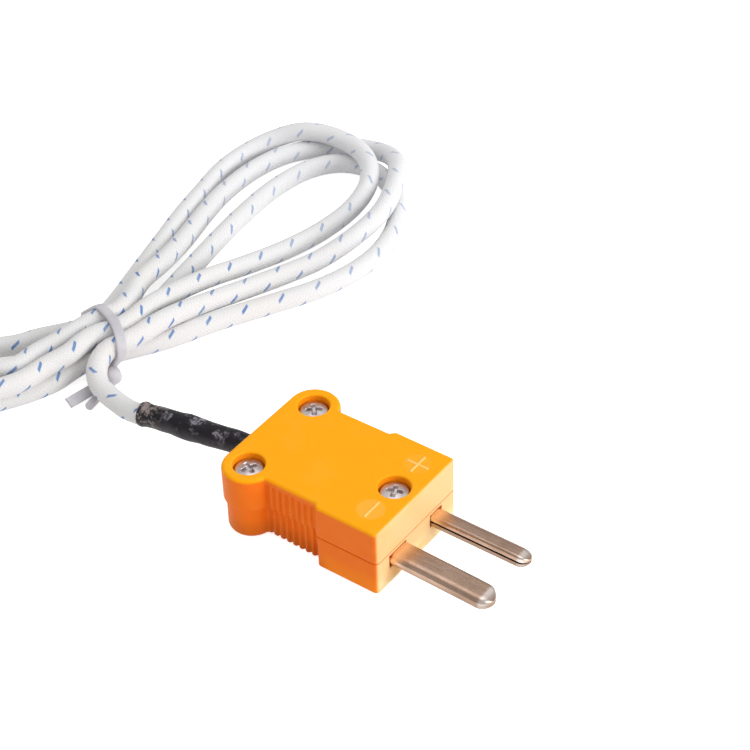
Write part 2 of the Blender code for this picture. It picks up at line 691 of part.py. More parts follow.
def lead_stretch(name, route, parts, material):
    line = evenly_spaced(smooth_open([frame_point(p) for p in route], 8), 2 * LEAD_DIAMETER)
    return finish(tube(name, line, LEAD_RADIUS, parts), material)


def tie_matrix():
    """Turns a shape drawn in XY so that it stands across the hank, its Y up, at the tie."""
    along = Vector((math.cos(TIE_ANGLE), math.sin(TIE_ANGLE), 0))
    across = Vector((math.sin(TIE_ANGLE), -math.cos(TIE_ANGLE), 0))
    up = Vector((0, 0, 1))
    turn = Matrix((across, up, -along)).transposed().to_4x4()
    if turn.to_3x3().determinant() < 0:
        turn = Matrix((across, up, along)).transposed().to_4x4()
    return Matrix.Translation((TIE_CENTRE.x, TIE_CENTRE.y, 0)) @ turn


def rounded_box(half_width, low, high, top_radius, bottom_radius):
    """Outline of a box with two corner radii, drawn upright about X = 0."""
    corners = ((1, high - top_radius, top_radius, 0), (-1, high - top_radius, top_radius, 90),
               (-1, low + bottom_radius, bottom_radius, 180), (1, low + bottom_radius, bottom_radius, 270))
    outline = []
    for side, y, radius, start in corners:
        outline += arc(side * (half_width - radius), y, radius, start, start + 90, 4)
    return outline


def lead_hank(parts, cutters, material):
    """The wound lead as one solid of its outer shape, notched underneath for the tie."""
    outlines = []
    for outline in (HANK_OUTLINE, HANK_RIGHT_EYE, HANK_LEFT_EYE):
        points = [Vector((plan_x(inset * MM), across * MM)) for inset, across in outline]
        outlines.append([tuple(p) for p in smooth_closed(points, 2)])
    hank = extruded("lead_hank", outlines, 0.0, HANK_HEIGHT, parts)
    round_rim(hank, HANK_EDGE_RADIUS, 2, lambda co: True)
    half = TIE_WIDTH / 2 + JOINT_GAP
    notch = rounded_box(TIE_SPAN, -1.0 * MM, TIE_THICKNESS + JOINT_GAP, 0.2 * MM, 0.2 * MM)
    boolean(hank, extruded("tie_notch", [notch], -half, half, cutters, turn=tie_matrix()))
    return finish(hank, material)


def hank_tie(parts, material):
    """Flat plastic band round the hank."""
    inner_half = TIE_SPAN / 2 + JOINT_GAP
    inner_top = HANK_HEIGHT + JOINT_GAP
    inner_radius = HANK_EDGE_RADIUS + JOINT_GAP
    outer = rounded_box(inner_half + TIE_THICKNESS, 0.0, inner_top + TIE_THICKNESS,
                        inner_radius + TIE_THICKNESS, TIE_THICKNESS)
    inner = rounded_box(inner_half, TIE_THICKNESS, inner_top, inner_radius, 0.2 * MM)
    band = extruded("hank_tie", [outer, inner], -TIE_WIDTH / 2, TIE_WIDTH / 2, parts, turn=tie_matrix())
    return finish(band, material)


def tip(parts, materials):
    """Sleeve over the end of the braid, the two cores that leave it, and the welded bead."""
    last, before = (frame_point(p) for p in (LEAD_TAIL_ROUTE[-1], LEAD_TAIL_ROUTE[-2]))
    heading = (last - before)
    heading.z = 0
    heading.normalize()
    aside = Vector((-heading.y, heading.x, 0))
    start = last + heading * JOINT_GAP
    end = start + heading * TIP_SLEEVE_LENGTH
    sleeve = tube("tip_sleeve", [start, start.lerp(end, 0.5), end], TIP_SLEEVE_DIAMETER / 2, parts)
    finish(sleeve, materials["sleeve"])
    core_start = end + heading * JOINT_GAP
    core_end = core_start + heading * TIP_CONDUCTOR_LENGTH
    spread = CONDUCTOR_DIAMETER / 2 + FIT_GAP / 2
    bead_centre = core_end + heading * (JOINT_GAP + TIP_WIRE_LENGTH)
    wires = []
    for name, side in (("positive", 1), ("negative", -1)):
        shift = aside * spread * side
        middle = core_start.lerp(core_end, 0.5) + shift * 1.4
        line = evenly_spaced(smooth_open([core_start + shift, middle, core_end + shift], 6),
                             2 * CONDUCTOR_DIAMETER)
        finish(tube(f"tip_conductor_{name}", line, CONDUCTOR_DIAMETER / 2, parts), materials["insulation"])
        wire_line = [core_end + shift + heading * JOINT_GAP, bead_centre]
        wire = tube(f"bead_wire_{name}", wire_line, CORE_WIRE_DIAMETER / 2, parts)
        parts.objects.unlink(wire)
        wires.append(as_mesh(wire, bpy.data.collections["cutters"]))
    mesh = bpy.data.meshes.new("sensing_bead")
    shape = bmesh.new()
    bmesh.ops.create_uvsphere(shape, u_segments=16, v_segments=10, radius=BEAD_DIAMETER / 2)
    bmesh.ops.translate(shape, vec=bead_centre, verts=shape.verts)
    shape.to_mesh(mesh)
    shape.free()
    bead = bpy.data.objects.new("sensing_bead", mesh)
    parts.objects.link(bead)
    for wire in wires:
        boolean(bead, wire, "UNION")
    finish(bead, materials["bead"])


def main():
    clear_scene()
    parts = new_collection("thermocouple_probe")
    cutters = new_collection("cutters")
    materials = {
        "housing": principled("amber_plastic", (1.0, 0.40, 0.0), 0.35),
        "screw": principled("screw_steel", (0.62, 0.6, 0.58), 0.35, 1.0),
        "blade": principled("nickel_blade", (0.62, 0.52, 0.46), 0.3, 1.0),
        "sleeve": principled("black_sleeve", (0.02, 0.02, 0.025), 0.45),
        "braid": principled("glass_braid", (0.85, 0.85, 0.88), 0.7),
        "insulation": principled("core_insulation", (0.8, 0.78, 0.72), 0.6),
        "core": principled("core_wire", (0.6, 0.58, 0.55), 0.35, 1.0),
        "tie": principled("white_tie", (0.85, 0.85, 0.88), 0.4),
        "bead": principled("welded_bead", (0.35, 0.33, 0.32), 0.4, 1.0),
    }
    cable_entry_cutter(cutters)
    upper_shell(parts, cutters, materials["housing"])
    lower_shell(parts, cutters, materials["housing"])
    place_screws(parts, materials["screw"])
    for name, side, width in blade_rows():
        blade(name, side, width, parts, cutters, materials["blade"])
        washer(name, side, parts, cutters, materials["screw"])
        inner_wiring(name, side, parts, materials["insulation"], materials["core"])
    strain_relief(parts, materials["sleeve"])
    lead_stretch("lead_start", LEAD_START_ROUTE, parts, materials["braid"])
    lead_stretch("lead_tail", LEAD_TAIL_ROUTE, parts, materials["braid"])
    lead_hank(parts, cutters, materials["braid"])
    hank_tie(parts, materials["tie"])
    tip(parts, materials)


main()
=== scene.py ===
"""Look of a thermocouple probe: amber plug with folded blades on a wound braided lead.

Sizes are in metres in the frame of the solids. Plan places on the probe are given as millimetres
from the plug's front face, so that they can be compared with the photograph's readings.
"""

import math
import bmesh
import bpy
import numpy as np
from mathutils import Matrix, Vector
from mathutils.geometry import delaunay_2d_cdt


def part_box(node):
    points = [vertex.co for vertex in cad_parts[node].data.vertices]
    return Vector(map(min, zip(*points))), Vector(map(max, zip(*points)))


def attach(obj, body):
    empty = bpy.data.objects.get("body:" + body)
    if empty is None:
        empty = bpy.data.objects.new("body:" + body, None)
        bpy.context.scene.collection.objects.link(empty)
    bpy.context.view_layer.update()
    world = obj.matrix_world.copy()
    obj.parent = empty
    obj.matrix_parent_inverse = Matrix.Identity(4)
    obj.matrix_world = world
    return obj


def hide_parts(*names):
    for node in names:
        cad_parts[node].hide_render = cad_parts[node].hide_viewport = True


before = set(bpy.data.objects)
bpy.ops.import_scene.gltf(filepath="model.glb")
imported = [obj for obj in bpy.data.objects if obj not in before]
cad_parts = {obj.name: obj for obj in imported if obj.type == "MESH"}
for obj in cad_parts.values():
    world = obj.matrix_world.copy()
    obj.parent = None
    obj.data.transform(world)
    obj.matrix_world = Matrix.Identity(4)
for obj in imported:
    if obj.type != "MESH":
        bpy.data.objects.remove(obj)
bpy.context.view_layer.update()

bl_info = {
    "name": "Thermocouple Probe",
    "version": (1, 0, 0),
    "blender": (4, 5, 0),
    "location": "3D View > Sidebar > Probe",
    "description": "Makes a miniature two-blade thermocouple plug on a braided lead",
    "category": "Add Mesh",
}

MM = 0.001
UPPER_LOW, UPPER_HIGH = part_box("upper_shell")
LOWER_LOW, LOWER_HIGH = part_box("lower_shell")
FRONT_X = UPPER_HIGH[0]
FRONT_SCREW_X = FRONT_X - 3.2 * MM
FIRST_GROOVE_X = FRONT_X - 9.825 * MM
GROOVE_COUNT = 8
SEAT_DEPTH = 2.2 * MM
CLEARANCE_RADIUS = 1.2 * MM
WELL_COLUMNS = 72
LINE_STEP = 0.9 * MM
CAMERA_PLACE = (114.5, -160.16, 191.87)
CAMERA_AZIMUTH, CAMERA_ELEVATION, CAMERA_ROLL = (math.radians(v) for v in (36.86, 39.69, -1.72))


def place(points):
    """Millimetres from the plug's front face, as an array of frame positions in metres."""
    return np.array(points, float) * MM + np.array([FRONT_X, 0.0, 0.0])


# Settings

class ProbePlugSettings(bpy.types.PropertyGroup):
    housing_colour: bpy.props.FloatVectorProperty(
        name="Top colour", description="Amber of the housing's top", subtype="COLOR",
        default=(0.98, 0.385, 0.001), min=0, max=1)
    # Painted shade: the walls take a deeper orange than the top, standing in for the shade on the sides.
    shaded_wall_colour: bpy.props.FloatVectorProperty(
        name="Wall colour", description="Deeper orange of the housing's side walls", subtype="COLOR",
        default=(0.87, 0.17, 0.004), min=0, max=1)
    # Painted highlight: the front face's pale tone stands in for strong light falling on it.
    face_highlight_colour: bpy.props.FloatVectorProperty(
        name="Face colour", description="Pale tone of the chalky front face", subtype="COLOR",
        default=(0.92, 0.56, 0.25), min=0, max=1)
    blade_colour: bpy.props.FloatVectorProperty(
        name="Blade colour", description="Warm nickel of the blades", subtype="COLOR",
        default=(0.44, 0.30, 0.225), min=0, max=1)
    screw_colour: bpy.props.FloatVectorProperty(
        name="Screw colour", description="Plated steel of the screws", subtype="COLOR",
        default=(0.62, 0.57, 0.57), min=0, max=1)
    body_length: bpy.props.FloatProperty(
        name="Body length", description="Length of the housing", unit="LENGTH", default=23.4 * MM)
    body_width: bpy.props.FloatProperty(
        name="Body width", description="Width of the front block", unit="LENGTH", default=16.4 * MM)
    body_height: bpy.props.FloatProperty(
        name="Body height", description="Height of the housing", unit="LENGTH",
        default=UPPER_HIGH[2] - LOWER_LOW[2])
    waist_inset: bpy.props.FloatProperty(
        name="Waist inset", description="How far the grip lies in from the front block", unit="LENGTH",
        default=0.65 * MM)
    ear_radius: bpy.props.FloatProperty(
        name="Ear radius", description="Radius of the round screw ears", unit="LENGTH",
        default=3.35 * MM)
    ear_spacing: bpy.props.FloatProperty(
        name="Ear spacing", description="Distance between the rear screws", unit="LENGTH",
        default=13.0 * MM)
    groove_pitch: bpy.props.FloatProperty(
        name="Groove pitch", description="Distance between grip grooves", unit="LENGTH",
        default=0.96 * MM)
    groove_depth: bpy.props.FloatProperty(
        name="Groove depth", description="Depth of the grip grooves", unit="LENGTH",
        default=0.3 * MM)
    well_radius: bpy.props.FloatProperty(
        name="Well radius", description="Radius of the screw wells", unit="LENGTH",
        default=2.0 * MM)
    well_mouth: bpy.props.FloatProperty(
        name="Well mouth", description="Rounding of the mouths of the screw wells", unit="LENGTH",
        default=0.25 * MM)
    sheet: bpy.props.FloatProperty(
        name="Sheet", description="Thickness of the folded blade strip", unit="LENGTH",
        default=0.75 * MM)
    blade_bend: bpy.props.FloatProperty(
        name="Blade bend", description="How far the tip of the wide blade is bent down", unit="LENGTH",
        default=0.4 * MM)


class ProbeLeadSettings(bpy.types.PropertyGroup):
    braid_colour: bpy.props.FloatVectorProperty(
        name="Braid colour", description="White of the glass braid", subtype="COLOR",
        default=(0.735, 0.728, 0.726), min=0, max=1)
    tracer_colour: bpy.props.FloatVectorProperty(
        name="Tracer colour", description="Blue of the tracer threads", subtype="COLOR",
        default=(0.035, 0.105, 0.26), min=0, max=1)
    sleeve_colour: bpy.props.FloatVectorProperty(
        name="Sleeve colour", description="Black of the shrunk sleeves", subtype="COLOR",
        default=(0.006, 0.004, 0.007), min=0, max=1)
    tie_colour: bpy.props.FloatVectorProperty(
        name="Tie colour", description="White of the tie", subtype="COLOR",
        default=(0.58, 0.565, 0.595), min=0, max=1)
    lead_diameter: bpy.props.FloatProperty(
        name="Lead diameter", description="Diameter over the braid", unit="LENGTH", default=2.8 * MM)
    lead_length: bpy.props.FloatProperty(
        name="Lead length", description="Length of braided lead outside the sleeve", unit="LENGTH",
        default=0.80)
    tracer_pitch: bpy.props.FloatProperty(
        name="Tracer pitch", description="Length in which a tracer thread goes once round",
        unit="LENGTH", default=11.0 * MM)
    sleeve_diameter: bpy.props.FloatProperty(
        name="Sleeve diameter", description="Diameter of the strain relief", unit="LENGTH",
        default=2.94 * MM)
    tie_width: bpy.props.FloatProperty(
        name="Tie width", description="Width of the tie's band", unit="LENGTH", default=1.35 * MM)
    tie_thickness: bpy.props.FloatProperty(
        name="Tie thickness", description="Thickness of the tie's band", unit="LENGTH",
        default=0.55 * MM)


class ProbeStageSettings(bpy.types.PropertyGroup):
    floor_colour: bpy.props.FloatVectorProperty(
        name="Floor colour", description="Colour of the floor and the backdrop", subtype="COLOR",
        default=(0.93, 0.93, 0.93), min=0, max=1)
    world_strength: bpy.props.FloatProperty(
        name="World strength", description="Brightness of the surroundings", default=0.62, min=0)
    key_power: bpy.props.FloatProperty(
        name="Key power", description="Power of the large lamp before the blades", unit="POWER",
        default=5.0, min=0)
    top_power: bpy.props.FloatProperty(
        name="Top power", description="Power of the lamp overhead", unit="POWER", default=1.9, min=0)
    focal_length: bpy.props.FloatProperty(
        name="Focal length", description="Camera lens in millimetres", default=109.17, min=1)


# Numbers to meshes

def ring_faces(rows, columns, base=0):
    """Quads of a grid of rows by columns whose columns close on themselves."""
    r, c = np.meshgrid(np.arange(rows - 1), np.arange(columns), indexing="ij")
    following = (c + 1) % columns
    quads = np.stack([r * columns + c, r * columns + following,
                      (r + 1) * columns + following, (r + 1) * columns + c], axis=-1)
    return quads.reshape(-1, 4) + base


def mesh_object(name, points, faces, smooth=True):
    """A new object at the origin from an array of points and faces of any number of corners."""
    mesh = bpy.data.meshes.new(name)
    corners = [list(map(int, face)) for face in faces]
    mesh.from_pydata(np.asarray(points, float).reshape(-1, 3).tolist(), [], corners)
    mesh.validate()
    obj = bpy.data.objects.new(name, mesh)
    bpy.context.scene.collection.objects.link(obj)
    if smooth:
        mesh.shade_smooth()
    return obj


def closed_up(obj, distance=1e-7):
    """Merges the doubles of a mesh and turns its faces outwards."""
    shape = bmesh.new()
    shape.from_mesh(obj.data)
    bmesh.ops.remove_doubles(shape, verts=shape.verts, dist=distance)
    bmesh.ops.recalc_face_normals(shape, faces=shape.faces)
    shape.to_mesh(obj.data)
    shape.free()
    obj.data.shade_smooth()
    return obj


def smoothed_line(points, spacing):
    """Cubic spline through open points, as even points: each piece is the cubic that passes its
    two points with slopes taken from the neighbours, by the square root of the chord."""
    p = np.asarray(points, float)
    d = np.sqrt(np.linalg.norm(np.diff(p, axis=0), axis=1))
    before, after = np.concatenate([d[:1], d])[:, None], np.concatenate([d, d[-1:]])[:, None]
    slope_in = (p - np.vstack([2 * p[0] - p[1], p[:-1]])) / before
    slope_out = (np.vstack([p[1:], 2 * p[-1] - p[-2]]) - p) / after
    slope = (slope_in * after + slope_out * before) / (before + after)
    t = np.linspace(0, 1, 24, endpoint=False)[None, :, None]
    h = d[:, None, None]
    h00, h10 = 2 * t**3 - 3 * t**2 + 1, t**3 - 2 * t**2 + t
    h01, h11 = -2 * t**3 + 3 * t**2, t**3 - t**2
    fine = (h00 * p[:-1, None] + h10 * h * slope[:-1, None] + h01 * p[1:, None] + h11 * h * slope[1:, None])
    fine = np.vstack([fine.reshape(-1, p.shape[1]), p[-1:]])
    return even_line(fine, spacing)


def even_line(fine, spacing):
    """Points at equal distances along a fine line."""
    run = np.concatenate([[0.0], np.cumsum(np.linalg.norm(np.diff(fine, axis=0), axis=1))])
    count = max(2, int(round(run[-1] / spacing)))
    wanted = np.linspace(0, run[-1], count + 1)
    return np.stack([np.interp(wanted, run, fine[:, k]) for k in range(fine.shape[1])], axis=1)


def settled(line, gap, floor, held=10, steps=80):
    """Moves a line off itself, as a lead does that can't pass through itself.

    Each step pushes every two places nearer than the gap apart by half of what they lack, draws
    the line back towards where it was, evens out its bends a little and the move itself more, and
    keeps it above the floor. Neighbours along the line, and the held start, aren't pushed.
    """
    start, run = line.copy(), np.arange(len(line))
    apart = np.abs(run[:, None] - run[None]) > 9
    free = smooth_step(run, held, held + 12)[:, None]
    for _ in range(steps):
        offset = line[:, None] - line[None]
        distance = np.sqrt((offset ** 2).sum(-1)) + 1e-9
        lack = np.where(apart & (distance < gap), gap - distance, 0.0)
        push = (offset * (lack / distance)[..., None]).sum(1) * 0.5
        push /= np.maximum(1.0, (lack > 0).sum(1))[:, None] ** 0.5
        line = line + free * (push + 0.03 * (start - line))
        moved = line - start
        bent = 0.05 * (line[:-2] + line[2:] - 2 * line[1:-1])
        bent += 0.22 * (moved[:-2] + moved[2:] - 2 * moved[1:-1])
        line[1:-1] += free[1:-1] * bent
        line[:, 2] = np.maximum(line[:, 2], floor)
    return line


def carried_frames(line):
    """Directions along a line, and two across it that don't twist: each is the one before, turned
    by the least rotation between the two directions."""
    ahead = np.gradient(line, axis=0)
    ahead /= np.linalg.norm(ahead, axis=1)[:, None]
    first = np.cross(ahead[0], [0.0, 0.0, 1.0])
    first /= np.linalg.norm(first)
    sides = [first]
    for direction in ahead[1:]:
        side = sides[-1] - direction * np.dot(sides[-1], direction)
        sides.append(side / np.linalg.norm(side))
    side = np.array(sides)
    return ahead, side, np.cross(side, ahead)


def tube_grid(line, radii, around):
    """A circle of radius r(s) carried along the line: P(s, a) = line + r (cos a side + sin a up)."""
    _, side, up = carried_frames(line)
    a = np.linspace(0, 2 * np.pi, around, endpoint=False)
    r = np.broadcast_to(np.asarray(radii, float).reshape(len(line), -1), (len(line), around))
    return line[:, None] + r[..., None] * (np.cos(a)[None, :, None] * side[:, None]
                                           + np.sin(a)[None, :, None] * up[:, None])


def tube_object(name, line, radii, around=20, dome=0.5):
    """A tube grid closed by a shallow dome at each end, with its length and turn as a UV map."""
    r = np.broadcast_to(np.asarray(radii, float).reshape(len(line), -1), (len(line), around)).copy()
    ahead, _, _ = carried_frames(line)
    body = tube_grid(line, r, around)
    caps = []
    for end, sign in ((0, -1), (-1, 1)):
        centre = line[end]
        steps = np.linspace(0, np.pi / 2, 5)[1:-1]
        offset = body[end] - centre
        reach = np.linalg.norm(offset, axis=1).mean() * dome
        rings = [centre + offset * math.cos(b) + sign * ahead[end] * reach * math.sin(b) for b in steps]
        caps.append((rings, centre + sign * ahead[end] * reach))
    rows = [*caps[0][0][::-1], *body, *caps[1][0]]
    grid = np.array(rows)
    count = len(grid)
    points = np.vstack([grid.reshape(-1, 3), caps[0][1], caps[1][1]])
    quads = ring_faces(count, around)[:, ::-1]
    k = np.arange(around)
    start_fan = np.stack([np.full(around, count * around), k, (k + 1) % around], axis=1)
    base = (count - 1) * around
    end_fan = np.stack([np.full(around, count * around + 1), base + (k + 1) % around, base + k], axis=1)
    obj = mesh_object(name, points, [*quads, *start_fan, *end_fan])
    along = np.concatenate([[0.0], np.cumsum(np.linalg.norm(np.diff(grid.mean(axis=1), axis=0), axis=1))])
    along = np.append(along, [0.0, along[-1]])
    give_tube_uv(obj, along, count, around)
    return closed_up(obj, 1e-8)


def give_tube_uv(obj, along, rows, around):
    """UV map: U is the turn, 0 to 1, and V the length in metres. The seam's last column gets U = 1."""
    mesh = obj.data
    layer = mesh.uv_layers.new(name="length")
    index = np.empty(len(mesh.loops), int)
    mesh.loops.foreach_get("vertex_index", index)
    starts = np.empty(len(mesh.polygons), int)
    mesh.polygons.foreach_get("loop_start", starts)
    totals = np.empty(len(mesh.polygons), int)
    mesh.polygons.foreach_get("loop_total", totals)
    column = np.where(index < rows * around, index % around, 0)
    row = np.where(index < rows * around, index // around, rows + (index - rows * around))
    face_of_loop = np.repeat(np.arange(len(starts)), totals)
    last = np.zeros(len(starts), bool)
    np.logical_or.at(last, face_of_loop, column == around - 1)
    turn = column / around
    turn = np.where(last[face_of_loop] & (column == 0), 1.0, turn)
    uv = np.stack([turn, along[row]], axis=1)
    layer.data.foreach_set("uv", uv.ravel())


def revolved(name, profile, centre, around=64):
    """A profile (radius, height) turned about an upright axis; its ends lie on the axis."""
    prof = np.asarray(profile, float)
    a = np.linspace(0, 2 * np.pi, around, endpoint=False)
    x = centre[0] + prof[:, 0, None] * np.cos(a)
    y = centre[1] + prof[:, 0, None] * np.sin(a)
    z = np.broadcast_to(prof[:, 1, None], x.shape)
    return closed_up(mesh_object(name, np.stack([x, y, z], -1), ring_faces(len(prof), around)))


def smooth_step(value, low, high):
    """0 below low, 1 above high and 3 t^2 - 2 t^3 between."""
    t = np.clip((value - low) / (high - low), 0, 1)
    return t * t * (3 - 2 * t)


# Materials

def node_group(name, inputs, outputs):
    """An empty shader group with its sockets, and its inlet and outlet nodes."""
    group = bpy.data.node_groups.new(name, "ShaderNodeTree")
    for label, kind, default in inputs:
        socket = group.interface.new_socket(label, in_out="INPUT", socket_type=kind)
        if default is not None:
            socket.default_value = default
    for label, kind in outputs:
        group.interface.new_socket(label, in_out="OUTPUT", socket_type=kind)
    return group, group.nodes.new("NodeGroupInput"), group.nodes.new("NodeGroupOutput")


def add_node(tree, kind, links=None, **settings):
    """A node with its settings, and its inputs linked or given a value."""
    node = tree.nodes.new(kind)
    for key, value in settings.items():
        setattr(node, key, value)
    for key, value in (links or {}).items():
        if isinstance(value, bpy.types.NodeSocket):
            tree.links.new(value, node.inputs[key])
        else:
            node.inputs[key].default_value = value
    return node


def maths(tree, operation, a, b=None, clamp=False):
    """A Math node's result; each term is a socket or a plain number."""
    terms = {slot: value for slot, value in enumerate((a, b)) if value is not None}
    return add_node(tree, "ShaderNodeMath", terms, operation=operation, use_clamp=clamp).outputs[0]


def plus(tree, a, b, clamp=False):
    return maths(tree, "ADD", a, b, clamp)


def minus(tree, a, b):
    return maths(tree, "SUBTRACT", a, b)


def times(tree, a, b):
    return maths(tree, "MULTIPLY", a, b)


def between(tree, value, low, high):
    """0 below low, 1 above high, smooth between."""
    node = add_node(tree, "ShaderNodeMapRange", {"Value": value, "From Min": low, "From Max": high},
                    interpolation_type="SMOOTHSTEP")
    return node.outputs["Result"]


def mixed(tree, factor, a, b):
    """Colour a where the factor is 0 and b where it is 1; each is a socket or a plain colour."""
    a, b = (value if isinstance(value, bpy.types.NodeSocket) else (*value[:3], 1.0) for value in (a, b))
    return add_node(tree, "ShaderNodeMix", {0: factor, 6: a, 7: b}, data_type="RGBA").outputs[2]


def scaled(colour, factor, lift=0.0):
    """A colour times a factor plus a lift, held to 1."""
    return tuple(min(1.0, channel * factor + lift) for channel in colour)


def grain_group():
    """Fine and broad mottle: a mask of each, and their sum as a height."""
    found = bpy.data.node_groups.get("surface_grain")
    if found:
        return found
    group, inlet, outlet = node_group(
        "surface_grain",
        [("Vector", "NodeSocketVector", None), ("Fine Scale", "NodeSocketFloat", 4000.0),
         ("Broad Scale", "NodeSocketFloat", 300.0)],
        [("Fine", "NodeSocketFloat"), ("Broad", "NodeSocketFloat"), ("Height", "NodeSocketFloat")])
    fine = add_node(group, "ShaderNodeTexNoise", {
        "Vector": inlet.outputs[0], "Scale": inlet.outputs[1], "Detail": 3.0, "Roughness": 0.6})
    broad = add_node(group, "ShaderNodeTexNoise", {
        "Vector": inlet.outputs[0], "Scale": inlet.outputs[2], "Detail": 4.0, "Roughness": 0.55})
    height = plus(group, times(group, fine.outputs[0], 0.6),
                   times(group, broad.outputs[0], 0.8))
    group.links.new(fine.outputs[0], outlet.inputs[0])
    group.links.new(broad.outputs[0], outlet.inputs[1])
    group.links.new(height, outlet.inputs[2])
    return group


def scratch_group():
    """Long thin marks: noise stretched along X, kept where it passes a thin level."""
    found = bpy.data.node_groups.get("fine_scratches")
    if found:
        return found
    group, inlet, outlet = node_group(
        "fine_scratches",
        [("Vector", "NodeSocketVector", None), ("Scale", "NodeSocketFloat", 900.0),
         ("Stretch", "NodeSocketFloat", 0.06)],
        [("Mask", "NodeSocketFloat")])
    stretch = add_node(group, "ShaderNodeCombineXYZ", {"X": inlet.outputs[2], "Y": 1.0, "Z": 1.0})
    spread = add_node(group, "ShaderNodeVectorMath", {0: inlet.outputs[0], 1: stretch.outputs[0]},
                      operation="MULTIPLY")
    noise = add_node(group, "ShaderNodeTexNoise", {
        "Vector": spread.outputs[0], "Scale": inlet.outputs[1], "Detail": 5.0, "Roughness": 0.7})
    edge = maths(group, "ABSOLUTE", minus(group, noise.outputs[0], 0.5))
    thin = minus(group, 1.0, between(group, edge, 0.0, 0.05))
    group.links.new(thin, outlet.inputs[0])
    return group


def place_group(tree, group, links):
    return add_node(tree, "ShaderNodeGroup", links, node_tree=group)


def grained(tree, coords, fine_scale=4000.0, broad_scale=300.0):
    """Fine mottle, broad mottle and their height, on Object coordinates."""
    return place_group(tree, grain_group(), {
        "Vector": coords.outputs["Object"], "Fine Scale": fine_scale, "Broad Scale": broad_scale}).outputs


def object_place(tree, coords):
    """The X, Y and Z of Object coordinates."""
    return add_node(tree, "ShaderNodeSeparateXYZ", {0: coords.outputs["Object"]}).outputs


def new_material(name, roughness=0.5, metallic=0.0, colour=(0.8, 0.8, 0.8)):
    """A material with its shader's plain values set, and its coordinates."""
    material = bpy.data.materials.new(name)
    material.use_nodes = True
    tree = material.node_tree
    shader = tree.nodes["Principled BSDF"]
    shader.inputs["Roughness"].default_value = roughness
    shader.inputs["Metallic"].default_value = metallic
    shader.inputs["Base Color"].default_value = (*colour[:3], 1.0)
    material.diffuse_color = (*colour[:3], 1.0)
    coords = add_node(tree, "ShaderNodeTexCoord")
    return material, tree, shader, coords


def bump(tree, shader, height, strength, distance):
    """Feeds a height into the shader's normal."""
    node = add_node(tree, "ShaderNodeBump", {"Height": height, "Strength": strength, "Distance": distance})
    tree.links.new(node.outputs[0], shader.inputs["Normal"])


def within(tree, x, y, middle_x, middle_y, outer, inner):
    """Mask of a round patch seen from above: 1 inside the inner radius, 0 past the outer one."""
    away = [minus(tree, x, middle_x), minus(tree, y, middle_y)]
    squares = [times(tree, part, part) for part in away]
    return between(tree, maths(tree, "SQRT", plus(tree, *squares)), outer, inner)


def housing_material(settings):
    """Amber moulding with painted light: deeper orange on the walls and darker towards the bottom as painted
    shade, brighter well walls as painted bounced light, and a pale front face as a painted highlight.
    """
    material, tree, shader, coords = new_material(
        "amber_housing", 0.38, colour=settings.housing_colour)
    x, y, z = object_place(tree, coords)
    _, broad, height = grained(tree, coords, 5200.0, 260.0)
    top = settings.body_height
    # Painted shade: below the top's edge the walls take the deeper, shaded wall colour.
    upper = between(tree, z, top - 0.6 * MM, top - 0.08 * MM)
    colour = mixed(tree, upper, settings.shaded_wall_colour, settings.housing_colour)
    # Painted shade: the walls grow darker towards the bottom, deeper orange under the front block and darker
    # still at the rear.
    lower = between(tree, z, 3.6 * MM, 0.6 * MM)
    block = between(tree, x, FRONT_X - 10.0 * MM, FRONT_X - 7.0 * MM)
    colour = mixed(tree, times(tree, lower, times(tree, block, 0.75)), colour,
                   (1.0, 0.275, 0.004))
    rear = minus(tree, 1.0, block)
    colour = mixed(tree, times(tree, lower, times(tree, rear, 0.65)), colour,
                   (0.56, 0.12, 0.003))
    # Painted bounced light: the well walls below the top take a brighter orange than the shaded walls.
    for name in ("front", "left", "right"):
        low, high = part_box(f"case_screw_{name}")
        well = within(tree, x, y, (low[0] + high[0]) / 2, (low[1] + high[1]) / 2,
                      settings.well_radius + 0.35 * MM, settings.well_radius + 0.15 * MM)
        colour = mixed(tree, times(tree, well, minus(tree, 1.0, upper)), colour,
                       (1.0, 0.30, 0.004))
    # Painted highlight: the front face takes the pale highlight colour, paler still towards its bottom; the
    # darker broad mottle on it is the moulding's own uneven tone.
    front = between(tree, x, FRONT_X - 0.3 * MM, FRONT_X - 0.02 * MM)
    face = mixed(tree, lower, settings.face_highlight_colour, (1.0, 0.76, 0.40))
    face = mixed(tree, times(tree, between(tree, broad, 0.44, 0.68), 0.6), face,
                 (0.97, 0.50, 0.18))
    colour = mixed(tree, front, colour, face)
    for side, amount in ((-1, 0.35), (1, 0.14)):
        disc = within(tree, x, y, FRONT_SCREW_X, side * 4.8 * MM, 1.85 * MM, 1.6 * MM)
        disc = times(tree, disc, amount)
        colour = mixed(tree, times(tree, disc, upper), colour, (0.98, 0.50, 0.10))
    seam = maths(tree, "ABSOLUTE", minus(tree, z, LOWER_HIGH[2]))
    line = minus(tree, 1.0, between(tree, seam, 0.02 * MM, 0.11 * MM))
    colour = mixed(tree, times(tree, line, 0.4), colour, (0.75, 0.14, 0.006))
    colour = mixed(tree, times(tree, between(tree, broad, 0.5, 0.75), 0.12), colour,
                   (0.98, 0.46, 0.06))
    tree.links.new(colour, shader.inputs["Base Color"])
    tree.links.new(plus(tree, 0.36, times(tree, broad, 0.2)), shader.inputs["Roughness"])
    shader.inputs["Specular IOR Level"].default_value = 0.12
    shader.inputs["Subsurface Weight"].default_value = 0.08
    shader.inputs["Subsurface Radius"].default_value = (1.0, 0.35, 0.08)
    shader.inputs["Subsurface Scale"].default_value = 0.9 * MM
    bump(tree, shader, height, 0.12, 0.06 * MM)
    return material


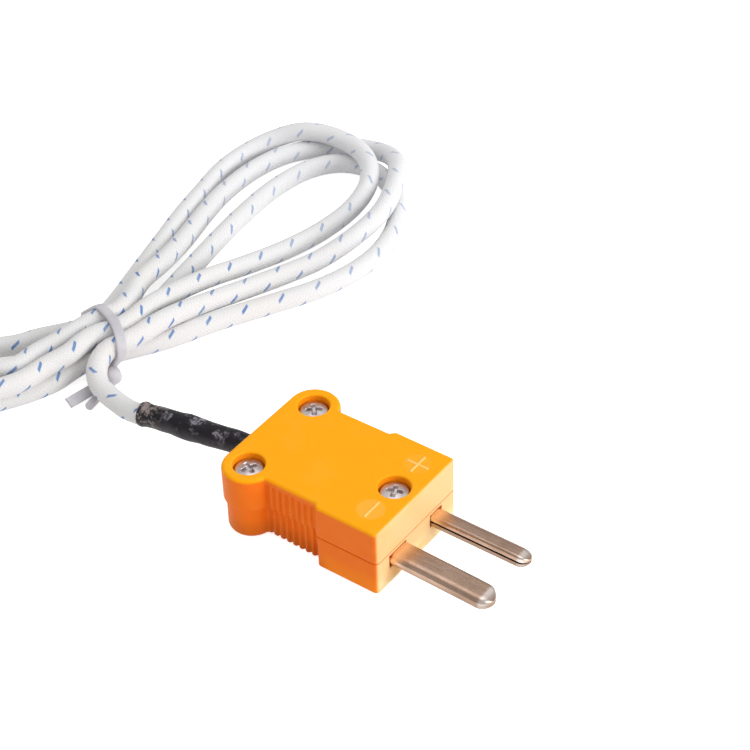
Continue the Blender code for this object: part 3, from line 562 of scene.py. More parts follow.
def mark_material():
    """Raised marks: the housing's plastic, paler where it is thin."""
    material, tree, shader, coords = new_material("polarity_mark", 0.45, colour=(1.0, 0.6, 0.14))
    _, broad, height = grained(tree, coords)
    tree.links.new(mixed(tree, broad, (1.0, 0.62, 0.18), (1.0, 0.52, 0.08)), shader.inputs["Base Color"])
    bump(tree, shader, height, 0.1, 0.05 * MM)
    return material


def metal_material(name, colour, dark, roughness, scratch_scale=900.0, stretch=0.06):
    """Worn plated metal: a mottled tone, fine scratches and an uneven polish."""
    material, tree, shader, coords = new_material(name, roughness, 1.0, colour)
    _, broad, height = grained(tree, coords, 3500.0, 450.0)
    scratches = place_group(tree, scratch_group(), {
        "Vector": coords.outputs["Object"], "Scale": scratch_scale, "Stretch": stretch}).outputs[0]
    tone = mixed(tree, between(tree, broad, 0.35, 0.7), colour, dark)
    tone = mixed(tree, times(tree, scratches, 0.25), tone, scaled(colour, 1.5))
    tree.links.new(tone, shader.inputs["Base Color"])
    tree.links.new(plus(tree, roughness - 0.08, times(tree, broad, 0.2)), shader.inputs["Roughness"])
    bump(tree, shader, plus(tree, height, times(tree, scratches, -0.4)), 0.12, 0.03 * MM)
    return material


def braid_material(settings, name="glass_braid", tracer=True):
    """Glass braid on the length map: crossed threads as height, and blue dashes where a tracer
    thread, wound as a helix, comes over the others."""
    material, tree, shader, coords = new_material(name, 0.75, colour=settings.braid_colour)
    uv = add_node(tree, "ShaderNodeUVMap", uv_map="length")
    turn, length, _ = add_node(tree, "ShaderNodeSeparateXYZ", {0: uv.outputs[0]}).outputs
    rev = maths(tree, "DIVIDE", length, settings.tracer_pitch)
    threads = 20
    left = times(tree, plus(tree, turn, rev), threads)
    right = times(tree, minus(tree, turn, rev), threads)
    waves = [maths(tree, "ABSOLUTE", maths(tree, "SINE", times(tree, lay, math.pi))) for lay in (left, right)]
    over = maths(tree, "SINE", times(tree, plus(tree, left, right), math.pi / 2))
    over = between(tree, over, -0.5, 0.5)
    weave = add_node(tree, "ShaderNodeMix", {0: over, 2: waves[0], 3: waves[1]}, data_type="FLOAT").outputs[0]
    fine, broad, _ = grained(tree, coords, 6000.0, 220.0)
    shade = plus(tree, times(tree, weave, 0.5), times(tree, fine, 0.5))
    colour = mixed(tree, shade, scaled(settings.braid_colour, 0.9), scaled(settings.braid_colour, 1.06))
    soiled = times(tree, between(tree, broad, 0.45, 0.75), 0.45)
    colour = mixed(tree, soiled, colour, (0.76, 0.73, 0.68))
    # Painted light: the braid grows lighter and cooler towards the far side, standing in for light there.
    far_side_light = between(tree, object_place(tree, coords)[1], 18.0 * MM, 58.0 * MM)
    colour = mixed(tree, times(tree, far_side_light, 0.7), colour, (0.775, 0.775, 0.795))
    if tracer:
        wander = times(tree, minus(tree, broad, 0.5), 0.12)
        phase = plus(tree, times(tree, minus(tree, turn, rev), 2.0), wander)
        off = maths(tree, "ABSOLUTE", minus(tree, maths(tree, "FRACT", phase), 0.5))
        line = minus(tree, 1.0, between(tree, off, 0.040, 0.076))
        dash = maths(tree, "SINE", times(tree, rev, 2 * math.pi * 4))
        dash = between(tree, plus(tree, dash, times(tree, wander, 3.0)), 0.1, 0.5)
        fleck = times(tree, line, dash)
        ink = mixed(tree, fine, settings.tracer_colour, scaled(settings.tracer_colour, 2.4, 0.06))
        worn = plus(tree, 0.6, times(tree, broad, 0.6), clamp=True)
        # The flecks also fade towards the far side with the painted light; the broad variation before this is
        # wear.
        worn = times(tree, worn, minus(tree, 1.0, times(tree, far_side_light, 0.5)))
        colour = mixed(tree, times(tree, fleck, worn), colour, ink)
    tree.links.new(colour, shader.inputs["Base Color"])
    shader.inputs["Sheen Weight"].default_value = 0.15
    bump(tree, shader, plus(tree, weave, times(tree, fine, 0.5)), 0.35, 0.09 * MM)
    return material


def sleeve_material(settings):
    """Shrunk black sleeve: satin, with pale chalky smudges and a grey-brown crust at its far end."""
    material, tree, shader, coords = new_material("black_sleeve", 0.42, colour=settings.sleeve_colour)
    fine, broad, height = grained(tree, coords, 2600.0, 620.0)
    x, _, z = object_place(tree, coords)
    worn = times(tree, between(tree, x, FRONT_X - 25 * MM, FRONT_X - 29 * MM),
                 between(tree, z, 4.6 * MM, 5.9 * MM))
    smudge = times(tree, between(tree, broad, 0.50, 0.66), between(tree, fine, 0.35, 0.6))
    smudge = times(tree, smudge, plus(tree, 0.12, times(tree, worn, 0.7)))
    colour = mixed(tree, smudge, settings.sleeve_colour, (0.34, 0.32, 0.38))
    far = between(tree, x, FRONT_X - 36.5 * MM, FRONT_X - 41.2 * MM)
    ragged = between(tree, plus(tree, times(tree, fine, 0.5), times(tree, broad, 0.5)), 0.46, 0.56)
    colour = mixed(tree, times(tree, far, ragged), colour, (0.27, 0.225, 0.21))
    tree.links.new(colour, shader.inputs["Base Color"])
    tree.links.new(plus(tree, 0.34, times(tree, broad, 0.3)), shader.inputs["Roughness"])
    shader.inputs["Specular IOR Level"].default_value = 0.28
    bump(tree, shader, height, 0.35, 0.12 * MM)
    return material


def plain_material(name, colour, tint, roughness):
    """Matt finish: two near tones in a broad mottle, with a fine grain in polish and relief."""
    material, tree, shader, coords = new_material(name, roughness, colour=colour)
    fine, broad, height = grained(tree, coords)
    tone = mixed(tree, between(tree, broad, 0.35, 0.7), colour, tint)
    tree.links.new(tone, shader.inputs["Base Color"])
    tree.links.new(plus(tree, roughness - 0.1, times(tree, fine, 0.2)), shader.inputs["Roughness"])
    bump(tree, shader, height, 0.12, 0.06 * MM)
    return material


def backdrop_material(settings):
    """Pale floor that keeps its shadows but looks white to the camera and in reflections."""
    material, tree, shader, _ = new_material("pale_floor", 0.9, colour=settings.floor_colour)
    path = add_node(tree, "ShaderNodeLightPath")
    seen = maths(tree, "MAXIMUM", path.outputs["Is Camera Ray"],
                 maths(tree, "MAXIMUM", path.outputs["Is Glossy Ray"], path.outputs["Is Transmission Ray"]))
    glow = add_node(tree, "ShaderNodeEmission", {"Color": (1, 1, 1, 1), "Strength": 0.72})
    both = add_node(tree, "ShaderNodeAddShader", {0: shader.outputs[0], 1: glow.outputs[0]})
    choose = add_node(tree, "ShaderNodeMixShader", {0: seen, 1: shader.outputs[0], 2: both.outputs[0]})
    out = tree.nodes["Material Output"]
    tree.links.new(choose.outputs[0], out.inputs["Surface"])
    return material


def dress(obj, material):
    """Gives a new piece its only material."""
    obj.data.materials.clear()
    obj.data.materials.append(material)


def keep_node(name, material):
    """Gives a carried-over solid its material."""
    obj = bpy.data.objects[name]
    if not obj.material_slots:
        obj.data.materials.append(material)
    for slot in obj.material_slots:
        slot.link = "OBJECT"
        slot.material = material


def stands_for(obj, slot, *nodes):
    """Says what a new piece replaces and what it rides on; the slot it is given is not used."""
    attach(obj, "root")
    if nodes:
        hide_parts(*nodes)


# The lead's route, chosen from the photograph: millimetres from the front face

TIE_PLACE = np.array([-55.5, 7.0])
TIE_ALONG = np.array([0.5, 0.866])
TIE_ACROSS = np.array([0.866, -0.5])
LAP_ALONG = np.array([-0.611, -0.791])
LAP_ACROSS = np.array([-0.791, 0.611])


def at_tie(across, level, along):
    """A place in the bundle: across it, above the floor and along it, in millimetres."""
    x, y = TIE_PLACE + TIE_ACROSS * across + TIE_ALONG * along
    return (x, y, level)


def at_lap(rows):
    """Places left of the tie: along the laps, across them towards the far side, and the level. The
    laps' own line curves a little towards the near side."""
    along, across, level = np.array(rows, float).T
    across = across - 0.0014 * np.maximum(along - 12.0, 0) ** 2
    plan = TIE_PLACE + LAP_ALONG * along[:, None] + LAP_ACROSS * across[:, None]
    return [tuple(row) for row in np.column_stack([plan, level])]


def lap_turn(along, far, near, levels):
    """The half turn that closes a lap, from the far side to the near side: P(a) = (along + r sin a,
    middle + r cos a), with its level run evenly through the levels given."""
    a = np.linspace(0, np.pi, 9)
    level = np.interp(a, np.linspace(0, np.pi, len(levels)), levels)
    radius, middle = (far - near) / 2, (far + near) / 2
    return at_lap(np.stack([along + radius * np.sin(a), middle + radius * np.cos(a), level], 1))


ROUTE_START = [
    (-41.0, -1.5, 3.55), (-42.6, -1.55, 3.2), (-44.6, -1.3, 2.8), (-46.8, -0.8, 2.65), (-49.4, -0.2, 2.75),
    (-51.2, 0.6, 3.05), (-52.5, 1.9, 3.6), (-53.1, 3.5, 4.2), (-53.1, 5.0, 4.6),
]
ROUTE_MIDDLE_LOOP = [
    (-51.3, 12.3, 4.3), (-49.9, 20.2, 3.4), (-47.7, 28.0, 2.4), (-45.9, 33.9, 1.8), (-43.9, 39.2, 1.9),
    (-42.1, 44.7, 3.1), (-41.5, 50.2, 4.1), (-43.2, 55.8, 4.3), (-45.9, 60.9, 4.1), (-49.1, 64.1, 3.0),
    (-53.0, 65.6, 1.8), (-57.0, 64.9, 1.4), (-61.0, 61.9, 1.4), (-64.1, 57.8, 1.4), (-65.6, 52.5, 1.4),
    (-65.8, 45.5, 1.4), (-65.0, 38.4, 1.5), (-63.1, 31.4, 2.0), (-61.1, 25.0, 3.0), (-59.6, 19.0, 4.0),
]
ROUTE_LOW_LOOP = [
    (-49.4, 15.8, 2.1), (-46.6, 22.2, 1.6), (-43.2, 28.7, 1.4), (-40.6, 33.7, 1.4), (-38.8, 39.2, 1.4),
    (-38.3, 44.3, 1.4), (-39.1, 49.4, 1.4), (-41.0, 53.8, 1.4), (-43.6, 57.3, 1.4), (-47.3, 60.3, 1.4),
    (-51.6, 61.7, 1.4), (-55.7, 60.8, 1.4), (-58.7, 57.3, 1.4), (-60.2, 50.5, 1.4), (-59.8, 40.6, 1.4),
    (-58.2, 29.2, 1.4), (-56.1, 18.2, 1.9),
]
ROUTE_HIGH_LOOP = [
    (-54.6, 14.0, 4.8), (-53.8, 19.8, 4.3), (-52.9, 25.6, 3.4), (-51.4, 31.8, 2.3), (-49.4, 39.0, 1.6),
    (-47.7, 45.4, 1.8), (-46.6, 50.4, 2.8), (-46.8, 54.4, 3.9), (-48.6, 57.8, 4.3), (-51.4, 60.4, 4.4),
    (-55.0, 61.8, 4.4), (-59.4, 62.0, 4.3), (-63.6, 60.9, 3.9), (-67.2, 58.3, 2.6), (-69.3, 54.0, 1.6),
    (-69.5, 49.0, 1.4), (-68.3, 43.4, 1.4), (-66.3, 36.8, 1.6), (-64.2, 30.0, 2.0), (-62.3, 23.0, 2.5),
    (-60.7, 16.5, 2.6),
]
ROUTE_TIP_RUN = [(-60.5, 8.3, 2.5), (-62.8, 5.9, 2.1), (-64.9, 4.0, 1.7), (-66.5, 1.5, 1.5)]
ROUTE_TAIL = [
    (-66.0, -28.4, 1.4), (-63.0, -27.2, 1.4), (-60.0, -27.1, 1.4), (-57.0, -28.3, 1.4),
    (-54.0, -30.8, 1.55), (-51.3, -34.0, 1.7),
]


def lead_points():
    """The whole lead, from the sleeve to the tip: three loops on the right of the tie, two laps and
    the run to the tip on the left of it."""
    first_lap = [(-58.6, 6.0, 4.7), (-59.5, 2.6, 4.2), (-60.5, -0.8, 4.0),
                 *at_lap([(12, -2.6, 3.9), (17, -1.3, 3.9), (22, 0.7, 3.9), (32, 5.0, 3.9),
                          (42, 7.0, 4.0), (50, 7.1, 3.9), (57, 6.6, 2.8)]),
                 *lap_turn(62, 5.7, -5.7, (1.6, 1.4, 1.4)),
                 *at_lap([(54, -5.8, 1.4), (44, -5.9, 1.4), (34, -5.9, 1.4), (22, -5.6, 1.4),
                          (12, -4.9, 1.4)]),
                 (-57.5, -1.2, 1.45)]
    second_lap = [*at_lap([(6, -0.3, 1.8), (12, -2.1, 1.4), (22, 2.0, 1.4), (32, 5.0, 1.4),
                           (42, 5.7, 1.4), (50, 5.7, 1.4)]),
                  *lap_turn(54.5, 5.7, -7.1, (1.5, 3.6, 4.3, 4.2)),
                  *at_lap([(48, -7.1, 4.1), (38, -6.9, 4.1), (29, -6.8, 4.1), (20, -6.4, 4.1),
                           (12.3, -5.8, 4.1)]),
                  (-57.5, -1.5, 4.3), (-56.4, 1.3, 4.6)]
    tip_run = [*ROUTE_TIP_RUN, *at_lap([(22, 7.5, 1.4), (34, 8.4, 1.4), (46, 8.6, 1.4), (55, 8.6, 1.4)]),
               *lap_turn(62, 8.6, -8.6, (1.4, 1.4)), *at_lap([(55, -8.7, 1.4), (48, -8.9, 1.4)]),
               (-73.2, -33.4, 1.4), (-69.6, -30.4, 1.4)]
    return [*ROUTE_START, at_tie(2.85, 4.7, 1.6), *ROUTE_MIDDLE_LOOP,
            at_tie(-2.75, 5.0, 3.6), at_tie(-2.75, 5.0, 0.4), *first_lap,
            at_tie(1.3, 2.3, -4.0), at_tie(1.3, 2.3, 0.0), at_tie(1.3, 2.3, 4.0), *ROUTE_LOW_LOOP,
            at_tie(-1.9, 2.3, 4.0), at_tie(-1.9, 2.3, 0.0), *second_lap,
            at_tie(0.0, 4.95, -1.5), at_tie(0.0, 4.95, 2.0), *ROUTE_HIGH_LOOP,
            (-59.9, 12.0, 2.5), *tip_run, *ROUTE_TAIL]


def lead_line(settings):
    """The lead's middle line: a smooth line through the route, then settled off itself."""
    line = smoothed_line(place(lead_points()), LINE_STEP)
    line = settled(line, settings.lead_diameter * 1.02, settings.lead_diameter / 2)
    return even_line(line, LINE_STEP)


# Operators

class PROBE_OT_stage(bpy.types.Operator):
    """Add the camera, the lamps, the world and the pale floor"""
    bl_idname = "probe.stage"
    bl_label = "Stage"

    def execute(self, context):
        settings = context.scene.probe_stage
        add_camera(settings)
        add_lamps(settings)
        add_world(settings)
        size = 6.0
        grid = np.array([[-size, -size, 0], [size, -size, 0], [size, size, 0], [-size, size, 0]])
        floor = mesh_object("floor", grid, [(0, 1, 2, 3)], smooth=False)
        dress(floor, backdrop_material(settings))
        context.scene.view_settings.view_transform = "Standard"
        return {"FINISHED"}


def add_camera(settings):
    """Camera at the photograph's angle: its axes from azimuth, elevation and roll."""
    flat = math.cos(CAMERA_ELEVATION)
    back = Vector((math.sin(CAMERA_AZIMUTH) * flat, -math.cos(CAMERA_AZIMUTH) * flat,
                   math.sin(CAMERA_ELEVATION)))
    right = Vector((math.cos(CAMERA_AZIMUTH), math.sin(CAMERA_AZIMUTH), 0))
    up = back.cross(right)
    rolled_right = right * math.cos(CAMERA_ROLL) + up * math.sin(CAMERA_ROLL)
    rolled_up = up * math.cos(CAMERA_ROLL) - right * math.sin(CAMERA_ROLL)
    camera = bpy.data.objects.new("camera", bpy.data.cameras.new("camera"))
    bpy.context.scene.collection.objects.link(camera)
    turn = Matrix((rolled_right, rolled_up, back)).transposed().to_4x4()
    camera.matrix_world = Matrix.Translation(place([CAMERA_PLACE])[0]) @ turn
    camera.data.lens = settings.focal_length
    camera.data.sensor_width = 36.0
    camera.data.sensor_fit = "HORIZONTAL"
    camera.data.clip_start = 0.005
    bpy.context.scene.camera = camera


def add_lamp(name, location, target, size, power):
    """Rectangular lamp that faces its target."""
    lamp = bpy.data.objects.new(name, bpy.data.lights.new(name, "AREA"))
    lamp.data.shape = "RECTANGLE"
    lamp.data.size, lamp.data.size_y = size
    lamp.data.energy = power
    lamp.location = location
    aim = Vector(target) - Vector(location)
    lamp.rotation_euler = aim.to_track_quat("-Z", "Y").to_euler()
    bpy.context.scene.collection.objects.link(lamp)


def add_lamps(settings):
    add_lamp("key", (0.80, 0.10, 0.36), (-0.02, 0.0, 0.0), (0.54, 0.48), settings.key_power)
    add_lamp("overhead", (-0.04, 0.14, 0.80), (-0.04, 0.02, 0.0), (0.70, 0.70), settings.top_power)


def add_world(settings):
    """Plain surroundings: soft light on the object, white where the camera sees them."""
    world = bpy.data.worlds.new("studio")
    world.use_nodes = True
    tree = world.node_tree
    background = tree.nodes["Background"]
    path = add_node(tree, "ShaderNodeLightPath")
    seen = maths(tree, "MAXIMUM", path.outputs["Is Camera Ray"], path.outputs["Is Transmission Ray"])
    strength = add_node(tree, "ShaderNodeMapRange", {
        "Value": seen, "To Min": settings.world_strength, "To Max": 1.0})
    background.inputs["Color"].default_value = (1, 1, 1, 1)
    tree.links.new(strength.outputs[0], background.inputs["Strength"])
    bpy.context.scene.world = world


class PROBE_OT_lead(bpy.types.Operator):
    """Add the braided lead, wound as a hank, with its tip"""
    bl_idname = "probe.lead"
    bl_label = "Lead"

    def execute(self, context):
        settings = context.scene.probe_lead
        line = lead_line(settings)
        radius = settings.lead_diameter / 2
        lead = tube_object("braided_lead", line, np.full(len(line), radius), around=22, dome=0.15)
        dress(lead, braid_material(settings))
        stands_for(lead, "braid", "lead_start", "lead_hank", "lead_tail")
        tip = add_tip(settings, line)
        sleeve = add_sleeve(settings)
        tie = add_tie(settings, line)
        return {"FINISHED"}


def add_sleeve(settings):
    """Shrunk sleeve: a tube whose radius swells and wrinkles along its length."""
    points = place([(-19.6, 0.0, 4.8), (-23.2, 0.0, 4.8), (-26.9, 0.0, 4.75), (-30.5, -0.5, 4.6),
                    (-34.2, -0.9, 4.35), (-37.3, -1.1, 4.05), (-41.6, -1.52, 3.56)])
    line = smoothed_line(points, 0.25 * MM)
    s = np.linspace(0, 1, len(line))
    swell = 1.04 + 0.11 * np.exp(-((s - 0.66) / 0.10) ** 2) + 0.09 * np.exp(-((s - 0.985) / 0.02) ** 2)
    around = 40
    a = np.linspace(0, 2 * np.pi, around, endpoint=False)
    wave = (np.sin(2 * a[None] + 37 * s[:, None]) * 0.010 + np.sin(3 * a[None] - 23 * s[:, None] + 1) * 0.008
            + np.sin(5 * a[None] + 61 * s[:, None]) * 0.006)
    grown = smooth_step(s, 0.3, 0.6)[:, None]
    radii = settings.sleeve_diameter / 2 * (swell[:, None] + wave * (0.3 + 1.2 * grown))
    sleeve = tube_object("shrunk_sleeve", line, radii, around=around, dome=0.12)
    dress(sleeve, sleeve_material(settings))
    stands_for(sleeve, "sleeve", "strain_relief")
    return sleeve


def add_tip(settings, lead):
    """Short sleeve, two cores that part and meet again, bare wires and the welded bead."""
    end = lead[-1]
    ahead = lead[-1] - lead[-4]
    ahead[2] = 0
    ahead /= np.linalg.norm(ahead)
    aside = np.array([-ahead[1], ahead[0], 0.0])
    start = end - ahead * 1.2 * MM
    finish = end + ahead * 10.3 * MM
    line = smoothed_line([start, (start + finish) / 2, finish], 0.4 * MM)
    s = np.linspace(0, 1, len(line))
    radii = 1.62 * MM * (1 - 0.16 * smooth_step(s, 0.8, 1.0)) + 0.03 * MM * np.sin(40 * s)
    sleeve = tube_object("tip_sleeve_skin", line, radii, around=28, dome=0.15)
    dress(sleeve, plain_material("tip_sleeve_black", settings.sleeve_colour, (0.030, 0.026, 0.030), 0.42))
    stands_for(sleeve, "sleeve", "tip_sleeve")
    pieces = [sleeve]
    bead_place = finish + ahead * 11.6 * MM
    core_material = braid_material(settings, "core_braid", tracer=False)
    wires = []
    for name, side in (("positive", 1), ("negative", -1)):
        shift = aside * 0.63 * MM * side
        core_end = finish + ahead * 8.4 * MM + shift
        core = smoothed_line([finish - ahead * 0.8 * MM + shift * 0.9,
                              finish + ahead * 4.0 * MM + shift * 1.45, core_end], 0.3 * MM)
        tube = tube_object(f"tip_core_{name}", core, np.full(len(core), 0.55 * MM), around=18, dome=0.4)
        dress(tube, core_material)
        stands_for(tube, "core_insulation", f"tip_conductor_{name}")
        pieces.append(tube)
        wire = smoothed_line([core_end - ahead * 0.5 * MM, core_end + ahead * 1.6 * MM - shift * 0.25,
                              bead_place], 0.2 * MM)
        wires.append(tube_object(f"bead_wire_{name}", wire, np.full(len(wire), 0.25 * MM), around=14))
    steps = np.linspace(0, np.pi, 15)
    radius = 0.72 * MM
    ball = revolved("bead_ball", np.stack([radius * np.sin(steps), radius * np.cos(steps)], 1), (0, 0), 24)
    ball.data.transform(Matrix.Translation(Vector(bead_place)))
    bead = joined("welded_bead", [ball, *wires])
    dress(bead, metal_material("welded_metal", (0.40, 0.37, 0.35), (0.20, 0.17, 0.16), 0.38))
    stands_for(bead, "bead", "sensing_bead")
    return [*pieces, bead]


def joined(name, objects):
    """One object from the meshes of several, which it removes."""
    shape = bmesh.new()
    for obj in objects:
        shape.from_mesh(obj.data)
    mesh = bpy.data.meshes.new(name)
    shape.to_mesh(mesh)
    shape.free()
    for obj in objects:
        bpy.data.objects.remove(obj, do_unlink=True)
    result = bpy.data.objects.new(name, mesh)
    bpy.context.scene.collection.objects.link(result)
    mesh.shade_smooth()
    return result


def strip_object(name, line, upright, width, thickness, closed, corner=0.3, around=28):
    """A rounded rectangle carried along a line: P(s, a) = line + width w(a) aside + thickness h(a) up,
    where (w, h) is a cosine and a sine to the power of the corner, which squares the circle."""
    ahead = np.roll(line, -1, axis=0) - np.roll(line, 1, axis=0) if closed else np.gradient(line, axis=0)
    ahead /= np.linalg.norm(ahead, axis=1)[:, None]
    aside = np.broadcast_to(np.asarray(upright, float), line.shape)
    up = np.cross(ahead, aside)
    up /= np.linalg.norm(up, axis=1)[:, None]
    a = np.linspace(0, 2 * np.pi, around, endpoint=False)
    w = np.sign(np.cos(a)) * np.abs(np.cos(a)) ** corner * width / 2
    h = np.sign(np.sin(a)) * np.abs(np.sin(a)) ** corner * thickness / 2
    grid = line[:, None] + w[None, :, None] * aside[:, None] + h[None, :, None] * up[:, None]
    rows = len(line)
    if closed:
        grid = np.vstack([grid, grid[:1]])
        return closed_up(mesh_object(name, grid, ring_faces(rows + 1, around)))
    faces = [*ring_faces(rows, around), list(range(around))[::-1],
             list(range((rows - 1) * around, rows * around))]
    return closed_up(mesh_object(name, grid, faces))


def bundle_outline(line, radius, spacing):
    """Outline round the strands where they pass through the tie: the furthest circle in each
    direction n gives the point centre + radius n, and straight runs join the circles."""
    plan = (line[:, :2] - place([(*TIE_PLACE, 0)])[0, :2]) / MM
    along, across = plan @ TIE_ALONG, plan @ TIE_ACROSS
    passing = np.flatnonzero((along[:-1] * along[1:] <= 0) & (np.abs(across[:-1]) < 8))
    share = (along[passing] / (along[passing] - along[passing + 1]))[:, None]
    middles = np.column_stack([across, line[:, 2] / MM])
    middles = middles[passing] * (1 - share) + middles[passing + 1] * share
    turn = np.linspace(0, 2 * np.pi, 361)
    n = np.stack([np.cos(turn), np.sin(turn)], 1)
    ring = middles[np.argmax(middles @ n.T, axis=0)] + radius * n
    return even_line(ring, spacing)[:-1]


def lump(name, middle, radii, power=0.8):
    """A rounded lump: a superellipsoid, r cos^p(u) cos^p(v) and the like, with blunt corners."""
    u = np.linspace(-np.pi / 2, np.pi / 2, 19)[:, None]
    v = np.linspace(0, 2 * np.pi, 28, endpoint=False)[None]
    cos_u, sin_u, cos_v, sin_v = (np.sign(value) * np.abs(value) ** power
                                  for value in (np.cos(u), np.sin(u), np.cos(v), np.sin(v)))
    grid = np.stack([cos_u * cos_v, cos_u * sin_v, sin_u * np.ones_like(v)], -1)
    spread = np.array([[*TIE_ACROSS, 0], [*TIE_ALONG, 0], [0, 0, 1.0]])
    points = place(middle)[0] + (grid * np.array(radii) * MM) @ spread
    return closed_up(mesh_object(name, points, ring_faces(19, 28)), 1e-8)


def add_tie(settings, lead):
    """White tie: a flat band drawn round the bundle, its lock, and the two ends that stick out."""
    width, thickness = settings.tie_width, settings.tie_thickness
    radius = (settings.lead_diameter + thickness) / 2 / MM + 0.02
    ring = bundle_outline(lead, radius, 0.3)
    ring[:, 1] = np.maximum(ring[:, 1], thickness / MM / 2 + 0.02)
    centre = np.array([*TIE_PLACE, 0.0])
    across, along = np.array([*TIE_ACROSS, 0.0]), np.array([*TIE_ALONG, 0.0])
    bow = 1.5 * (1 - ((ring[:, :1] - 0.8) / 6.5) ** 2) * smooth_step(ring[:, 1:], 1.5, 5.0)
    line = place(centre + ring[:, :1] * across + bow * along + ring[:, 1:] * np.array([0, 0, 1.0]))
    band = strip_object("tie_band", line, along, width, thickness, True, corner=0.5)
    lock = lump("tie_lock", [(-51.5, 3.8, 1.65)], (1.35, 1.15, 1.05))
    flat = smoothed_line(place([(-51.9, 3.4, 1.2), (-52.3, 1.4, 0.95), (-52.9, -1.2, 0.85),
                                (-53.3, -3.1, 0.8)]), 0.3 * MM)
    strip = strip_object("tie_tail", flat, (0.84, -0.15, -0.52), 1.5 * MM, 0.4 * MM, False)
    stub = smoothed_line(place([(-51.2, 3.6, 1.0), (-51.15, 1.4, 0.75), (-50.95, -0.4, 0.7),
                                (-50.75, -1.9, 0.7)]), 0.3 * MM)
    stub = tube_object("tie_stub", stub, np.full(len(stub), 0.58 * MM), around=18, dome=0.7)
    tie = joined("hank_tie_skin", [band, lock, strip, stub])
    dress(tie, plain_material("white_tie", settings.tie_colour, (0.50, 0.48, 0.52), 0.42))
    stands_for(tie, "tie", "hank_tie")
    return [tie]


class PROBE_OT_housing(bpy.types.Operator):
    """Add the two halves of the housing and the polarity marks"""
    bl_idname = "probe.housing"
    bl_label = "Housing"

    def execute(self, context):
        settings = context.scene.probe_plug
        material = housing_material(settings)
        cutters = inner_cutters()
        upper = add_half(settings, "upper", material)
        lower = add_half(settings, "lower", material)
        cut_openings(upper, cutters["upper"])
        cut_openings(lower, cutters["lower"])
        for tool in {*cutters["upper"], *cutters["lower"]}:
            bpy.data.objects.remove(tool, do_unlink=True)
        add_marks(settings)
        return {"FINISHED"}


def plan_outline(settings, inset, spacing=0.09 * MM):
    """Closed plan outline of a half, with its outward normals and half the waist's width.

    The raw outline has a rounded front block, a sloped shoulder, a straight waist and round ears. It
    is then smoothed by a narrow bell-shaped average, which softens each corner.
    """
    half_width = settings.body_width / 2
    waist = half_width - settings.waist_inset - inset
    ear, ear_y = settings.ear_radius - inset, settings.ear_spacing / 2
    ear_x = FRONT_X - settings.body_length + settings.ear_radius
    r = 0.6 * MM
    corner = np.linspace(0, np.pi / 2, 12)
    front = np.stack([FRONT_X - r + r * np.cos(corner), half_width - r + r * np.sin(corner)], 1)
    share = np.linspace(0, 1, 12)
    shoulder = np.stack([FRONT_X - (8.6 + 0.9 * share) * MM,
                         waist + (half_width - waist) * (1 + np.cos(np.pi * share)) / 2], 1)
    meeting = math.asin((waist - ear_y) / ear)
    turn = np.linspace(meeting, np.pi, 40)
    round_ear = np.stack([ear_x + ear * np.cos(turn), ear_y + ear * np.sin(turn)], 1)
    half = np.vstack([front, shoulder, round_ear])
    loop = np.vstack([half, half[::-1] * [1, -1], half[:1]])
    loop = even_line(loop, spacing)[:-1]
    count = len(loop)
    wave = np.fft.fftfreq(count, spacing)
    bell = np.exp(-2 * (np.pi * 0.10 * MM * wave) ** 2)[:, None]
    loop = np.fft.ifft(np.fft.fft(loop, axis=0) * bell, axis=0).real
    step = np.roll(loop, -1, axis=0) - np.roll(loop, 1, axis=0)
    normal = np.stack([step[:, 1], -step[:, 0]], 1) / np.linalg.norm(step, axis=1)[:, None]
    return loop, normal, waist


def groove_depth(settings, loop, waist):
    """Depth of the eight grip grooves along the outline: a rounded dip once a pitch, on the waist."""
    turns = (FIRST_GROOVE_X - loop[:, 0]) / settings.groove_pitch
    dip = np.clip(np.cos(2 * np.pi * turns) * 0.75 + 0.45, 0, 1) ** 0.8
    on_waist = (turns > -0.45) & (turns < GROOVE_COUNT - 0.55) & (np.abs(loop[:, 1]) > waist - 0.3 * MM)
    return settings.groove_depth * dip * on_waist


